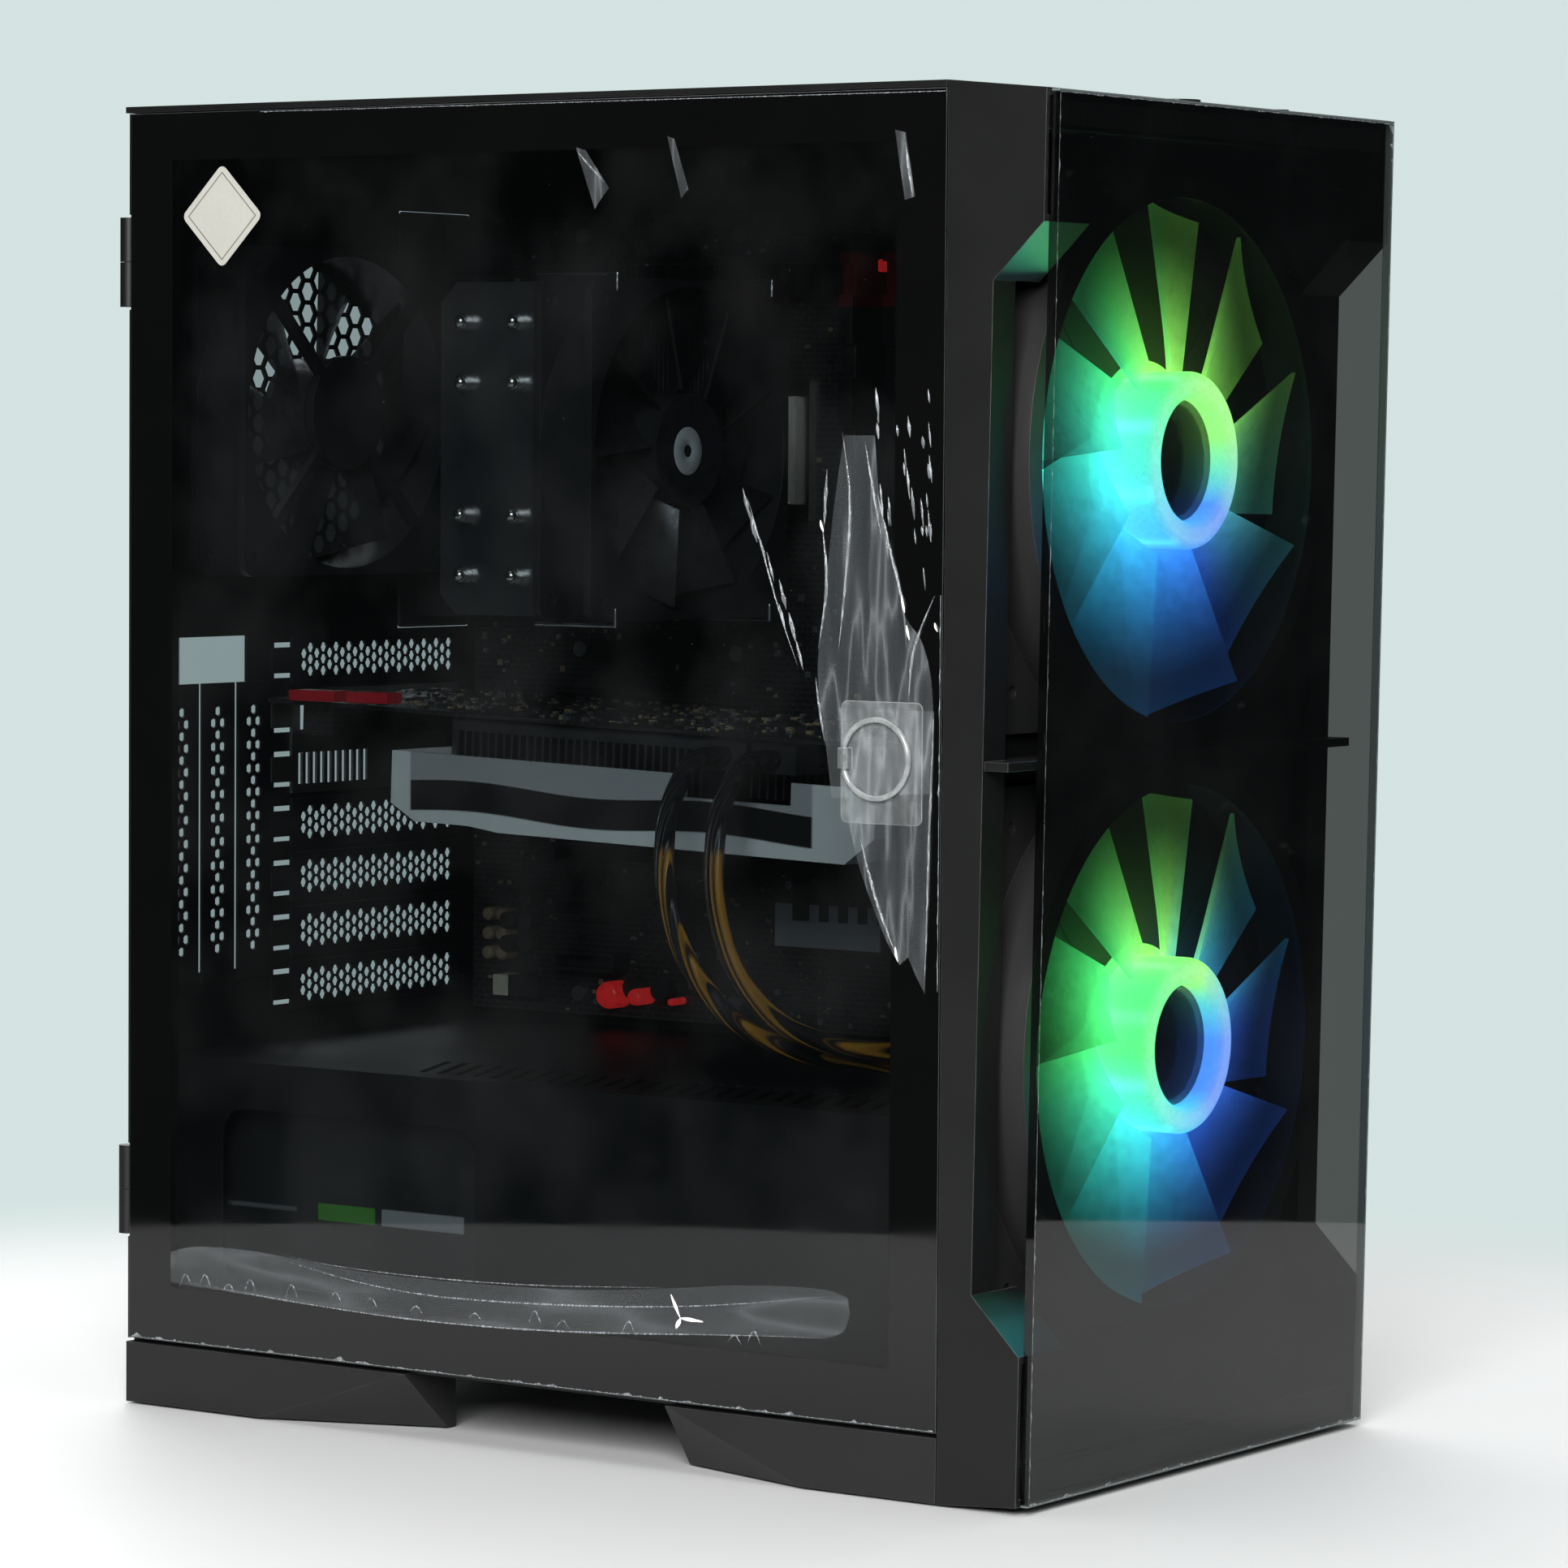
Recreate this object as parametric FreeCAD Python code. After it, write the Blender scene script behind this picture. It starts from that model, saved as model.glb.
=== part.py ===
import FreeCAD, Part
import math
import os

# Mid tower desktop computer with a hinged glass side door and a leaning glass front.
# Millimetres. +Z is up, -Y is the front of the case and -X is the side of the glass door.
# Inside this file X = 0 is the middle of the case and Y = 0 the rear edge of the door.
# Every node is moved by ORIGIN at the end, so that the origin of the part is the middle
# of the underside of its bounding box.

V = FreeCAD.Vector
X_AXIS, Y_AXIS, Z_AXIS = V(1, 0, 0), V(0, 1, 0), V(0, 0, 1)

# ---------------------------------------------------------------- driving dimensions
CASE_WIDTH = 228.2
CASE_HEIGHT = 467.8
BODY_DEPTH = 349.3          # rear edge of the door to the seam of the front bezel
BEZEL_DEPTH = 30.7          # depth of the front bezel at the floor
FRONT_LEAN = 7.2            # how far the top of the front leans forward
BEZEL_TOP_DROP = 3.4        # the top of the bezel slopes down towards the front
FOOT_HEIGHT = 22.6          # underside of the steel chassis above the floor

STEEL = 1.0                 # chassis sheet
PANEL_STEEL = 0.8           # right side panel
PLASTIC = 2.5               # walls of the front bezel
DOOR_GLASS = 4.0
FRONT_GLASS = 3.0
SEAM = 0.4                  # gap around the door and the bezel
SEAT = 0.3                  # gap left where curved or hidden faces meet
RUNNING = 0.06              # radial clearance of pins that turn

BOARD_STAND = 8.0           # motherboard face in front of the tray
CABLE_SPACE = 22.3          # tray to the outside of the right side panel
SHROUD_TOP = 125.8          # top of the power supply cover
SLOT_PITCH = 20.32          # expansion slot spacing
SLOT_COUNT = 7
FIRST_SLOT_Z = 267.1

BIG_FAN_PITCH = 199.5       # between the two front fans
BIG_FAN_Z = 144.9           # lower front fan
BIG_FAN_R = 97.0            # outside of a front fan ring
BIG_FAN_DEPTH = 21.4
HUB_RING_R = 30.2           # lit ring at the hub of a front fan
HUB_HOLE_R = 20.8
HUB_REACH = 5.5             # hub ring in front of the fan frame
SMALL_FAN = 120.0
SMALL_FAN_DEPTH = 25.0

HINGE_R = 3.2
HINGE_PIN_R = 1.6
HINGE_LENGTH = 32.0
HINGE_OUT = 4.4             # hinge axis behind the rear edge of the door
HINGE_LOW_Z = 77.5
HINGE_HIGH_Z = 412.4

# ---------------------------------------------------------------- derived places
HALF = CASE_WIDTH / 2
TOP = CASE_HEIGHT
SEAM_Y = -BODY_DEPTH
REAR_IN = 1.5                               # inner face of the rear panel
REAR_OUT = REAR_IN + STEEL
PAN_Z = FOOT_HEIGHT
FLOOR_Z = PAN_Z + STEEL
DOOR_IN = -HALF + DOOR_GLASS                # inner face of the door glass
LEFT = DOOR_IN + SEAM                       # left edge of the chassis
RIGHT = HALF - PANEL_STEEL
TRAY_X = HALF - CABLE_SPACE
BOARD_X = TRAY_X - BOARD_STAND              # face of the motherboard
DOOR_LOW = FOOT_HEIGHT + 1.6
DOOR_HIGH = TOP - 2.6
FRAME_Y = SEAM_Y + STEEL                    # back of the chassis front frame
FAN_BACK = SEAM_Y - SEAT
FAN_FRONT = FAN_BACK - BIG_FAN_DEPTH
FAN_CENTRES = (BIG_FAN_Z, BIG_FAN_Z + BIG_FAN_PITCH)
HINGE_X = -HALF + DOOR_GLASS + 0.1


def front_y(z):
    """Front edge of the bezel at height z."""
    return SEAM_Y - BEZEL_DEPTH - FRONT_LEAN * z / CASE_HEIGHT


# ---------------------------------------------------------------- helpers
def box(x, y, z):
    return Part.makeBox(x[1] - x[0], y[1] - y[0], z[1] - z[0], V(x[0], y[0], z[0]))


def rod(radius, start, end):
    start, end = V(*start), V(*end)
    return Part.makeCylinder(radius, (end - start).Length, start, end - start)


def tube(outer, inner, start, end):
    return rod(outer, start, end).cut(rod(inner, start, end))


def polygon(points):
    return Part.makePolygon([V(*p) for p in points] + [V(*points[0])])


def prism(points, along):
    """Extrude a closed outline of 3-D points along a vector."""
    return Part.Face(polygon(points)).extrude(V(*along))


def side_prism(outline, x):
    """Extrude (y, z) points between two x values."""
    return prism([(x[0], y, z) for y, z in outline], (x[1] - x[0], 0, 0))


def rounded(u, v, radius):
    """Edges of a rounded rectangle in a plane, as a wire of (u, v) ranges on XY."""
    (u0, u1), (v0, v1) = u, v
    k = radius * (1 - math.sqrt(0.5))
    lines = [((u0 + radius, v0), (u1 - radius, v0)), ((u1, v0 + radius), (u1, v1 - radius)),
             ((u1 - radius, v1), (u0 + radius, v1)), ((u0, v1 - radius), (u0, v0 + radius))]
    mids = [(u1 - k, v0 + k), (u1 - k, v1 - k), (u0 + k, v1 - k), (u0 + k, v0 + k)]
    edges = []
    for i, (a, b) in enumerate(lines):
        nxt = lines[(i + 1) % 4][0]
        edges.append(Part.LineSegment(V(*a, 0), V(*b, 0)).toShape())
        edges.append(Part.Arc(V(*b, 0), V(*mids[i], 0), V(*nxt, 0)).toShape())
    return Part.Wire(edges)


def hexagon(u, v, flats, pointed=False):
    radius = flats / math.sqrt(3)
    turn = 90 if pointed else 0
    corners = []
    for i in range(6):
        a = math.radians(60 * i + turn)
        corners.append((u + radius * math.cos(a), v + radius * math.sin(a), 0))
    return polygon(corners)


def oblong(u, v):
    return polygon([(u[0], v[0], 0), (u[1], v[0], 0), (u[1], v[1], 0), (u[0], v[1], 0)])


def circle(u, v, radius):
    return Part.Wire(Part.Circle(V(u, v, 0), Z_AXIS, radius).toShape())


def plate_xy(wires, z, thickness):
    """A level plate from an outer wire and the wires of its holes, drawn as (x, y)."""
    plate = Part.makeFace(wires, "Part::FaceMakerBullseye").extrude(V(0, 0, thickness))
    plate.translate(V(0, 0, z))
    return plate


def plate_xz(wires, y, thickness):
    """A plate across the case, drawn as (x, z), from y towards +Y."""
    plate = plate_xy(wires, 0, thickness)
    plate.rotate(V(0, 0, 0), X_AXIS, 90)
    plate.translate(V(0, y + thickness, 0))
    return plate


def plate_yz(wires, x, thickness):
    """A plate along the case, drawn as (y, z), from x towards +X."""
    plate = plate_xy(wires, 0, thickness)
    plate.rotate(V(0, 0, 0), V(1, 1, 1), 120)
    plate.translate(V(x, 0, 0))
    return plate


def group(shapes):
    solids = []
    for shape in shapes:
        solids.extend(shape.Solids)
    return Part.makeCompound(solids)


def fused(shapes):
    return shapes[0].multiFuse(shapes[1:]).removeSplitter()


def both_sides(shape):
    return [shape, shape.mirror(V(0, 0, 0), X_AXIS)]


def hex_field(u, v, pitch, flats, inside, flat_top=True):
    """Hexagon wires on a honeycomb grid over the ranges u and v where inside(u, v) holds."""
    fine, coarse = pitch * math.sqrt(3) / 2, pitch
    step_u, step_v = (fine, coarse) if flat_top else (coarse, fine)
    wires = []
    middle_u, middle_v = (u[0] + u[1]) / 2, (v[0] + v[1]) / 2
    count_u = int((u[1] - u[0]) / 2 / step_u) + 1
    count_v = int((v[1] - v[0]) / 2 / step_v) + 1
    for i in range(-count_u, count_u + 1):
        for j in range(-count_v, count_v + 1):
            shift_u = 0 if flat_top else coarse / 2 * (j % 2)
            shift_v = coarse / 2 * (i % 2) if flat_top else 0
            hu, hv = middle_u + i * step_u + shift_u, middle_v + j * step_v + shift_v
            if inside(hu, hv):
                wires.append(hexagon(hu, hv, flats, pointed=not flat_top))
    return wires


nodes = {}

# ---------------------------------------------------------------- rear panel and slots
FAN_X, FAN_Z = -19.0, 359.3                 # rear fan
GRILLE_R = 58.5
GRILLE_PITCH, GRILLE_HEX = 8.2, 6.5
FAN_SCREW = 52.5                            # half the bolt spacing of a 120 mm fan
SLOT_LEFT, SLOT_RIGHT = -31.3, BOARD_X - 7
SLOT_NECK_X = -22.2
SLOT_HALF = 6.6
NECK_HALF = 4.8
COVER_HALF = 9.2
TALL_SLOT_X = tuple(SLOT_LEFT - 12.7 - SLOT_PITCH * i for i in range(3))
TALL_LOW, TALL_HIGH = 153.7, 259.8
TALL_NOTCH_TOP = 276.8
TALL_COVER = 18.8
IO_WIDTH, IO_HEIGHT = 44.45, 158.75
IO_X, IO_Z = BOARD_X - 41.5, FIRST_SLOT_Z + 10.5
PSU_WIDTH, PSU_HEIGHT, PSU_DEPTH = 150.0, 86.0, 157.0
PSU_X, PSU_Z = -HALF + 26.1, FLOOR_Z + 1.0
PSU_RIM = 5.0
FOOT_WIDTH = 30.0
FILTER_X = (-HALF + FOOT_WIDTH + 4, PSU_X + PSU_WIDTH - 2)
SLOT_Z = [FIRST_SLOT_Z - SLOT_PITCH * i for i in range(SLOT_COUNT)]
GPU_SLOTS = (1, 2)
SCREW_R, SCREW_HEAD_R, SCREW_HEAD = 1.4, 3.0, 1.8
SCREW_HOLE_R = 1.8


def small_fan_holes(x, z):
    return [(x + i * FAN_SCREW, z + j * FAN_SCREW) for i in (-1, 1) for j in (-1, 1)]


def in_grille(u, v):
    return math.hypot(u - FAN_X, v - FAN_Z) < GRILLE_R - GRILLE_HEX / 2


def rear_panel_outline():
    """Outline with notches at the two hinges on its left edge."""
    edge, notch = -HALF + 2.1, HINGE_X + HINGE_R + SEAT
    points = [(RIGHT - 0.2, FLOOR_Z, 0), (RIGHT - 0.2, TOP - 2.4, 0), (edge, TOP - 2.4, 0)]
    for z in (HINGE_HIGH_Z, HINGE_LOW_Z):
        high, low = z + HINGE_LENGTH / 2 + 1, z - HINGE_LENGTH / 2 - 1
        points += [(edge, high, 0), (notch, high, 0), (notch, low, 0), (edge, low, 0)]
    return polygon(points + [(edge, FLOOR_Z, 0)])


holes = hex_field((FAN_X - 60, FAN_X + 60), (FAN_Z - 60, FAN_Z + 60), GRILLE_PITCH, GRILLE_HEX,
                  in_grille)
holes += [circle(x, z, SCREW_HOLE_R) for x, z in small_fan_holes(FAN_X, FAN_Z)]
holes += [oblong((SLOT_LEFT, SLOT_RIGHT), (z - SLOT_HALF, z + SLOT_HALF)) for z in SLOT_Z]
tall_left, tall_right = TALL_SLOT_X[2] - TALL_COVER / 2, TALL_SLOT_X[0] + TALL_COVER / 2
notch_right = TALL_SLOT_X[0] - 3.3
holes.append(polygon([(tall_left, TALL_LOW, 0), (tall_right, TALL_LOW, 0), (tall_right, TALL_HIGH, 0),
                      (notch_right, TALL_HIGH, 0), (notch_right, TALL_NOTCH_TOP, 0),
                      (tall_left, TALL_NOTCH_TOP, 0)]))
holes.append(oblong((IO_X, IO_X + IO_WIDTH), (IO_Z, IO_Z + IO_HEIGHT)))
holes.append(oblong((PSU_X + PSU_RIM, PSU_X + PSU_WIDTH - PSU_RIM),
                    (PSU_Z + PSU_RIM, PSU_Z + PSU_HEIGHT - PSU_RIM)))
nodes["rear_panel"] = plate_xz([rear_panel_outline()] + holes, REAR_IN, STEEL)

COVER_IN = REAR_IN - STEEL                  # covers lie behind the rear panel


def slot_cover(z):
    """A cover across one slot: perforated blade, narrow neck at its screw end."""
    left, right = TALL_SLOT_X[0] + TALL_COVER / 2 + 0.8, SLOT_RIGHT + 3
    outline = polygon([(left, z - NECK_HALF, 0), (SLOT_NECK_X, z - NECK_HALF, 0),
                       (SLOT_NECK_X, z - COVER_HALF, 0), (right, z - COVER_HALF, 0),
                       (right, z + COVER_HALF, 0), (SLOT_NECK_X, z + COVER_HALF, 0),
                       (SLOT_NECK_X, z + NECK_HALF, 0), (left, z + NECK_HALF, 0)])
    field = hex_field((SLOT_NECK_X + 4, SLOT_RIGHT - 4), (z - 5.5, z + 5.5), 4.4, 3.5,
                      lambda u, v: abs(v - z) < 4.6 and SLOT_NECK_X + 4 < u < SLOT_RIGHT - 3)
    return plate_xz([outline] + field, COVER_IN, STEEL)


def tall_cover(x):
    """A cover over one upright slot, seated on the rear panel above and below it."""
    half = TALL_COVER / 2 - 0.2
    outline = oblong((x - half, x + half), (TALL_LOW - 4, TALL_HIGH))
    field = hex_field((x - 5, x + 5), (TALL_LOW + 7, TALL_HIGH - 9), 5.05, 3.4,
                      lambda u, v: abs(u - x) < 3 and TALL_LOW + 6 < v < TALL_HIGH - 8,
                      flat_top=False)
    return plate_xz([outline] + field, COVER_IN, STEEL)


covers = [slot_cover(z) for i, z in enumerate(SLOT_Z) if i not in GPU_SLOTS]
covers += [tall_cover(x) for x in TALL_SLOT_X]
nodes["slot_covers"] = group(covers)

# ---------------------------------------------------------------- chassis
GLASS_WINDOW_FRONT = SEAM_Y + 19.3
CLIP_R = 2.2
CLIP_PLACES = [(i * (HALF - 8), z) for i in (-1, 1) for z in (30, TOP / 2, TOP - 26)]


def bottom_pan():
    """Floor of the chassis with the intake of the power supply and the filter's rails."""
    intake = [oblong((PSU_X + 14 + 12 * i, PSU_X + 22 + 12 * i), (y, y + 38))
              for i in range(10) for y in (-136, -90, -44)]
    outline = oblong((LEFT, RIGHT - 0.2), (FRAME_Y, REAR_IN))
    plate = plate_xy([outline] + intake, PAN_Z, STEEL)
    rails = []
    for side, x in ((1, FILTER_X[0] - 1.6), (-1, FILTER_X[1] + 1.6)):
        rails.append(box(sorted((x, x + side * 1.2)), (-164, REAR_IN), (PAN_Z - 4.6, PAN_Z)))
        rails.append(box(sorted((x, x + side * 5)), (-164, REAR_IN), (PAN_Z - 4.6, PAN_Z - 3.6)))
    return fused([plate] + rails)


def motherboard_tray():
    grommets = [rounded((GLASS_WINDOW_FRONT + 30, GLASS_WINDOW_FRONT + 58), (z, z + 62), 10)
                for z in (SHROUD_TOP + 22, SHROUD_TOP + 112, SHROUD_TOP + 202)]
    grommets.append(rounded(*TRAY_CABLE_HOLE, 10))
    cutout = rounded((-185, -60), (TOP - 160, TOP - 66), 6)
    outline = oblong((FRAME_Y, REAR_IN), (FLOOR_Z, TOP - 2.2))
    return plate_yz([outline, cutout] + grommets, TRAY_X, STEEL)


def front_frame():
    """Steel plate that the front fans are screwed to, with one round hole for each."""
    outline = oblong((LEFT, RIGHT - 0.2), (FLOOR_Z, TOP - 2.2))
    inner = [circle(0, z, BIG_FAN_R - 8) for z in FAN_CENTRES]
    bolts = [circle(i * 77, z + j * 77, SCREW_HOLE_R)
             for z in FAN_CENTRES for i in (-1, 1) for j in (-1, 1)]
    clips = [circle(x, z, CLIP_R + 0.5) for x, z in CLIP_PLACES]
    return plate_xz([outline] + inner + bolts + clips, SEAM_Y, STEEL)


ROOF_RIM = 14.0
SHROUD_CABLE_HOLE = (-24, 40), (-304, -266)
TRAY_CABLE_HOLE = (-238, -188), (44, 104)
FILTER_THICK = 1.2


def roof_panel():
    """Roof with a shallow pocket for the dust filter and slots for warm air."""
    top = TOP - FILTER_THICK
    slots = [oblong((-74 + 13 * i, -66 + 13 * i), (y, y + 84))
             for i in range(12) for y in (SEAM_Y + 36, SEAM_Y + 132, SEAM_Y + 228)]
    outline = oblong((-HALF, HALF), (SEAM_Y + SEAM, REAR_OUT))
    base = plate_xy([outline] + slots, top - STEEL, STEEL)
    rim = plate_xy([outline, rounded((-HALF + ROOF_RIM, HALF - ROOF_RIM),
                                     (SEAM_Y + ROOF_RIM, -ROOF_RIM), 5)], top, FILTER_THICK)
    return fused([base, rim])


def roof_filter():
    """Thin framed mesh that lies in the pocket of the roof."""
    gap = 0.4
    x, y = (-HALF + ROOF_RIM + gap, HALF - ROOF_RIM - gap), (SEAM_Y + ROOF_RIM + gap, -ROOF_RIM - gap)
    return plate_xy([rounded(x, y, 4.6)], TOP - FILTER_THICK, FILTER_THICK)


def psu_shroud():
    """Cover over the power supply: slotted top, left side with a rounded window."""
    front = SEAM_Y + 28.6
    left = LEFT + 10
    slots = []
    for i in range(26):
        y = front + 6 + 8 * i
        slots.append(polygon([(left + 12, y, 0), (left + 12, y + 3.2, 0),
                              (left + 46, y + 17.2, 0), (left + 46, y + 14, 0)]))
    slots.append(rounded(*SHROUD_CABLE_HOLE, 8))
    top = plate_xy([oblong((left, TRAY_X), (front, REAR_IN))] + slots, SHROUD_TOP - STEEL, STEEL)
    window = rounded((-146, -31.5), (FLOOR_Z + 22, SHROUD_TOP - 17), 10)
    side = plate_yz([oblong((front, REAR_IN), (FLOOR_Z, SHROUD_TOP)), window], left, STEEL)
    return fused([top, side])


nodes["bottom_pan"] = bottom_pan()
nodes["motherboard_tray"] = motherboard_tray()
nodes["front_frame"] = front_frame()
nodes["roof_panel"] = roof_panel()
nodes["roof_filter"] = roof_filter()
nodes["psu_shroud"] = psu_shroud()

side_y, side_z = (SEAM_Y + SEAM, REAR_OUT + SEAT + PANEL_STEEL), (DOOR_LOW, DOOR_HIGH)
THUMB_R, THUMB_HEAD = 5.5, 4.0
THUMB_PLACES = [(RIGHT - 7, z) for z in (TOP / 4, TOP * 3 / 4)]


def right_side_panel():
    """Sheet panel whose rear flange laps over the rear panel and takes two thumbscrews."""
    skin = box((RIGHT, HALF), side_y, side_z)
    lap = box((RIGHT - 12, RIGHT), (side_y[1] - PANEL_STEEL, side_y[1]), side_z)
    panel = fused([skin, lap])
    for x, z in THUMB_PLACES:
        panel = panel.cut(rod(2.0, (x, side_y[1] - 2, z), (x, side_y[1] + 2, z)))
    return panel


def thumbscrew(x, z):
    head = rod(THUMB_R, (x, side_y[1], z), (x, side_y[1] + THUMB_HEAD, z))
    shank = rod(1.7, (x, side_y[1] - PANEL_STEEL, z), (x, side_y[1], z))
    grooves = []
    for i in range(16):
        a = math.tau * i / 16
        gx, gz = x + THUMB_R * math.cos(a), z + THUMB_R * math.sin(a)
        grooves.append(rod(0.45, (gx, side_y[1] + 0.8, gz), (gx, side_y[1] + THUMB_HEAD, gz)))
    return fused([head.cut(Part.makeCompound(grooves)), shank])


nodes["right_side_panel"] = right_side_panel()
nodes["thumbscrews"] = group([thumbscrew(x, z) for x, z in THUMB_PLACES])

# ---------------------------------------------------------------- feet
PAD_HEIGHT = 1.6
FOOT_LIFT = 0.8                             # feet stand on their pads


def foot(outline_top, outline_low, inner_low, y_wall, toward):
    """Block under one corner whose end is cut by one slanting facet."""
    x0, x1 = -HALF, -HALF + FOOT_WIDTH
    y = sorted((y_wall, outline_top))
    block = box((x0, x1), y, (FOOT_LIFT, PAN_Z))
    a, b = V(x0, outline_top, PAN_Z), V(x0, outline_low, FOOT_LIFT)
    c = V(x0 + 9, inner_low, FOOT_LIFT)
    normal = (b - a).cross(c - a)
    normal.normalize()
    if normal.y * toward < 0:
        normal = normal * -1
    cutter = Part.makeBox(400, 400, 400, V(-200, -200, 0))
    cutter.Placement = FreeCAD.Placement(a, FreeCAD.Rotation(Z_AXIS, normal), V(0, 0, 0))
    return block.cut(cutter)


def pad_place(y):
    return (-HALF + 4, -HALF + 22), (y, y + 26)


PADS = (pad_place(-30), pad_place(SEAM_Y + 6))


def with_pads(shape):
    for x, y in PADS:
        shape = shape.cut(box(x, y, (0, PAD_HEIGHT)))
    return shape


rear_foot = with_pads(foot(-126.3, -60.0, -84.0, REAR_IN, -1))
front_foot = with_pads(foot(SEAM_Y + 110.3, SEAM_Y + 54.0, SEAM_Y + 88.0, SEAM_Y + SEAM, 1))
nodes["rear_feet"] = group(both_sides(rear_foot))
nodes["front_feet"] = group(both_sides(front_foot))
pads = []
for x, y in PADS:
    pads += both_sides(box(x, y, (0, PAD_HEIGHT)))
nodes["foot_pads"] = group(pads)

# ---------------------------------------------------------------- filter under the power supply
FILTER_Z = (PAN_Z - 3.4, PAN_Z - 1.2)
nodes["bottom_filter"] = fused([
    box(FILTER_X, (-160, REAR_IN + 1), FILTER_Z),
    box((PSU_X + 50, PSU_X + 100), (REAR_IN + 1, REAR_IN + 4), (FILTER_Z[0] - 4, FILTER_Z[1])),
])

# ---------------------------------------------------------------- glass door
door_y = (SEAM_Y + SEAM, 0)
door_z = (DOOR_LOW, DOOR_HIGH)
nodes["door_glass"] = box((-HALF, DOOR_IN), door_y, door_z)

LEAF = 1.2
DOOR_LEAF_REACH = 16.0


def door_leaf(z):
    """Upper knuckle, its pin pointing down and the leaf bonded inside the glass."""
    high = z + HINGE_LENGTH / 2
    barrel = rod(HINGE_R, (HINGE_X, HINGE_OUT, z + 0.2), (HINGE_X, HINGE_OUT, high))
    pin = rod(HINGE_PIN_R, (HINGE_X, HINGE_OUT, z - HINGE_LENGTH / 2 + 4),
              (HINGE_X, HINGE_OUT, z + 0.2))
    leaf = box((DOOR_IN, DOOR_IN + LEAF), (-DOOR_LEAF_REACH, HINGE_OUT - 2), (z + 0.2, high))
    return fused([barrel, pin, leaf])


def case_leaf(z):
    """Lower knuckle with a leaf screwed to the outside of the rear panel."""
    low, high = z - HINGE_LENGTH / 2, z
    barrel = rod(HINGE_R, (HINGE_X, HINGE_OUT, low), (HINGE_X, HINGE_OUT, high))
    leaf = box((HINGE_X, HINGE_X + 16), (REAR_OUT, REAR_OUT + LEAF), (low, high))
    body = fused([barrel, leaf])
    return body.cut(rod(HINGE_PIN_R + RUNNING, (HINGE_X, HINGE_OUT, low),
                        (HINGE_X, HINGE_OUT, high)))


nodes["door_hinges"] = group([door_leaf(z) for z in (HINGE_LOW_Z, HINGE_HIGH_Z)])
nodes["case_hinges"] = group([case_leaf(z) for z in (HINGE_LOW_Z, HINGE_HIGH_Z)])

# pull ring near the front edge of the door
PULL_Y, PULL_Z = SEAM_Y + 25.0, 245.6
PULL_RING_R, PULL_WIRE_R = 13.0, 1.0
PULL_BASE = 0.6
PULL_GAP = 0.5                              # ring wire above its base
PULL_PIN_R = 0.7
PULL_END = 4.5                              # half the opening of the C
pull_x = -HALF - PULL_BASE - PULL_GAP - PULL_WIRE_R
pull_pin_y = PULL_Y + math.sqrt(PULL_RING_R ** 2 - PULL_END ** 2)


def pull_base():
    wires = [rounded((PULL_Y - 17.5, PULL_Y + 14.7), (PULL_Z - 21.5, PULL_Z + 19), 2.5)]
    base = plate_yz(wires, -HALF - PULL_BASE, PULL_BASE)
    lug = box((pull_x - 1.3, -HALF - PULL_BASE), (pull_pin_y - 1.9, pull_pin_y + 1.9),
              (PULL_Z - 3.4, PULL_Z + 3.4))
    body = fused([base, lug])
    return body.cut(rod(PULL_PIN_R + RUNNING, (pull_x, pull_pin_y, PULL_Z - 4),
                        (pull_x, pull_pin_y, PULL_Z + 4)))


def pull_ring():
    """C-shaped wire ring whose two ends turn in and pivot in the lug."""
    half_gap = math.degrees(math.asin(PULL_END / PULL_RING_R))
    centre = V(pull_x, PULL_Y, PULL_Z)
    start = Part.Wire(Part.Circle(centre + V(0, PULL_RING_R, 0), Z_AXIS, PULL_WIRE_R).toShape())
    section = Part.Face(start)
    section.rotate(centre, X_AXIS, half_gap)
    ring = section.revolve(centre, X_AXIS, 360 - 2 * half_gap)
    pins = [rod(PULL_PIN_R, (pull_x, pull_pin_y, PULL_Z + s * 1.2),
                (pull_x, pull_pin_y, PULL_Z + s * (PULL_END + 0.6))) for s in (-1, 1)]
    return fused([ring] + pins)


nodes["pull_base"] = pull_base()
nodes["pull_ring"] = pull_ring()

STICKER_Y, STICKER_Z, STICKER_HALF = -42.5, TOP - 39.6, 18.2


def diamond_sticker():
    sticker = plate_yz([rounded((-STICKER_HALF * 0.72, STICKER_HALF * 0.72),
                                (-STICKER_HALF * 0.72, STICKER_HALF * 0.72), 2.5)],
                       -HALF - 0.15, 0.15)
    sticker.rotate(V(0, 0, 0), X_AXIS, 45)
    sticker.translate(V(0, STICKER_Y, STICKER_Z))
    return sticker


nodes["diamond_sticker"] = diamond_sticker()

# ---------------------------------------------------------------- front bezel and glass
BEZEL_HALF = HALF - 0.2
BEZEL_LOW = 0.6
GLASS_SIDE = HALF - 3.0
GLASS_LOW, GLASS_HIGH = 2.7, TOP - 3.8
GLASS_STAND = 0.1                           # back of the glass in front of the bezel edge
VENT_DEEP = 18.9
VENT_LOW, VENT_HIGH = BIG_FAN_Z - 92.6, FAN_CENTRES[1] + 77.0
VENT_SLOPE = 18.8
REVEAL_DEEP = 12.4                          # how far the vent's rear face reaches inwards
SLOPE_DEEP = 27.0
LEDGE = 2.0
LEDGE_TALL = 13.0
RIB_Z = BIG_FAN_Z + BIG_FAN_PITCH / 2 - 0.1
RIB_THICK = 3.0
TOP_Y = SEAM_Y - BEZEL_DEPTH / 2 - 3        # row of buttons and sockets on the bezel's top
USB_X = (-72, -52, -32)
AUDIO_X = (30, 44)
POWER_X, RESET_X = 0, 68
POWER_R, RESET_R = 8.0, 4.0
USB_WIDE, USB_DEEP = 13.4, 6.2
AUDIO_R = 1.8
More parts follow.
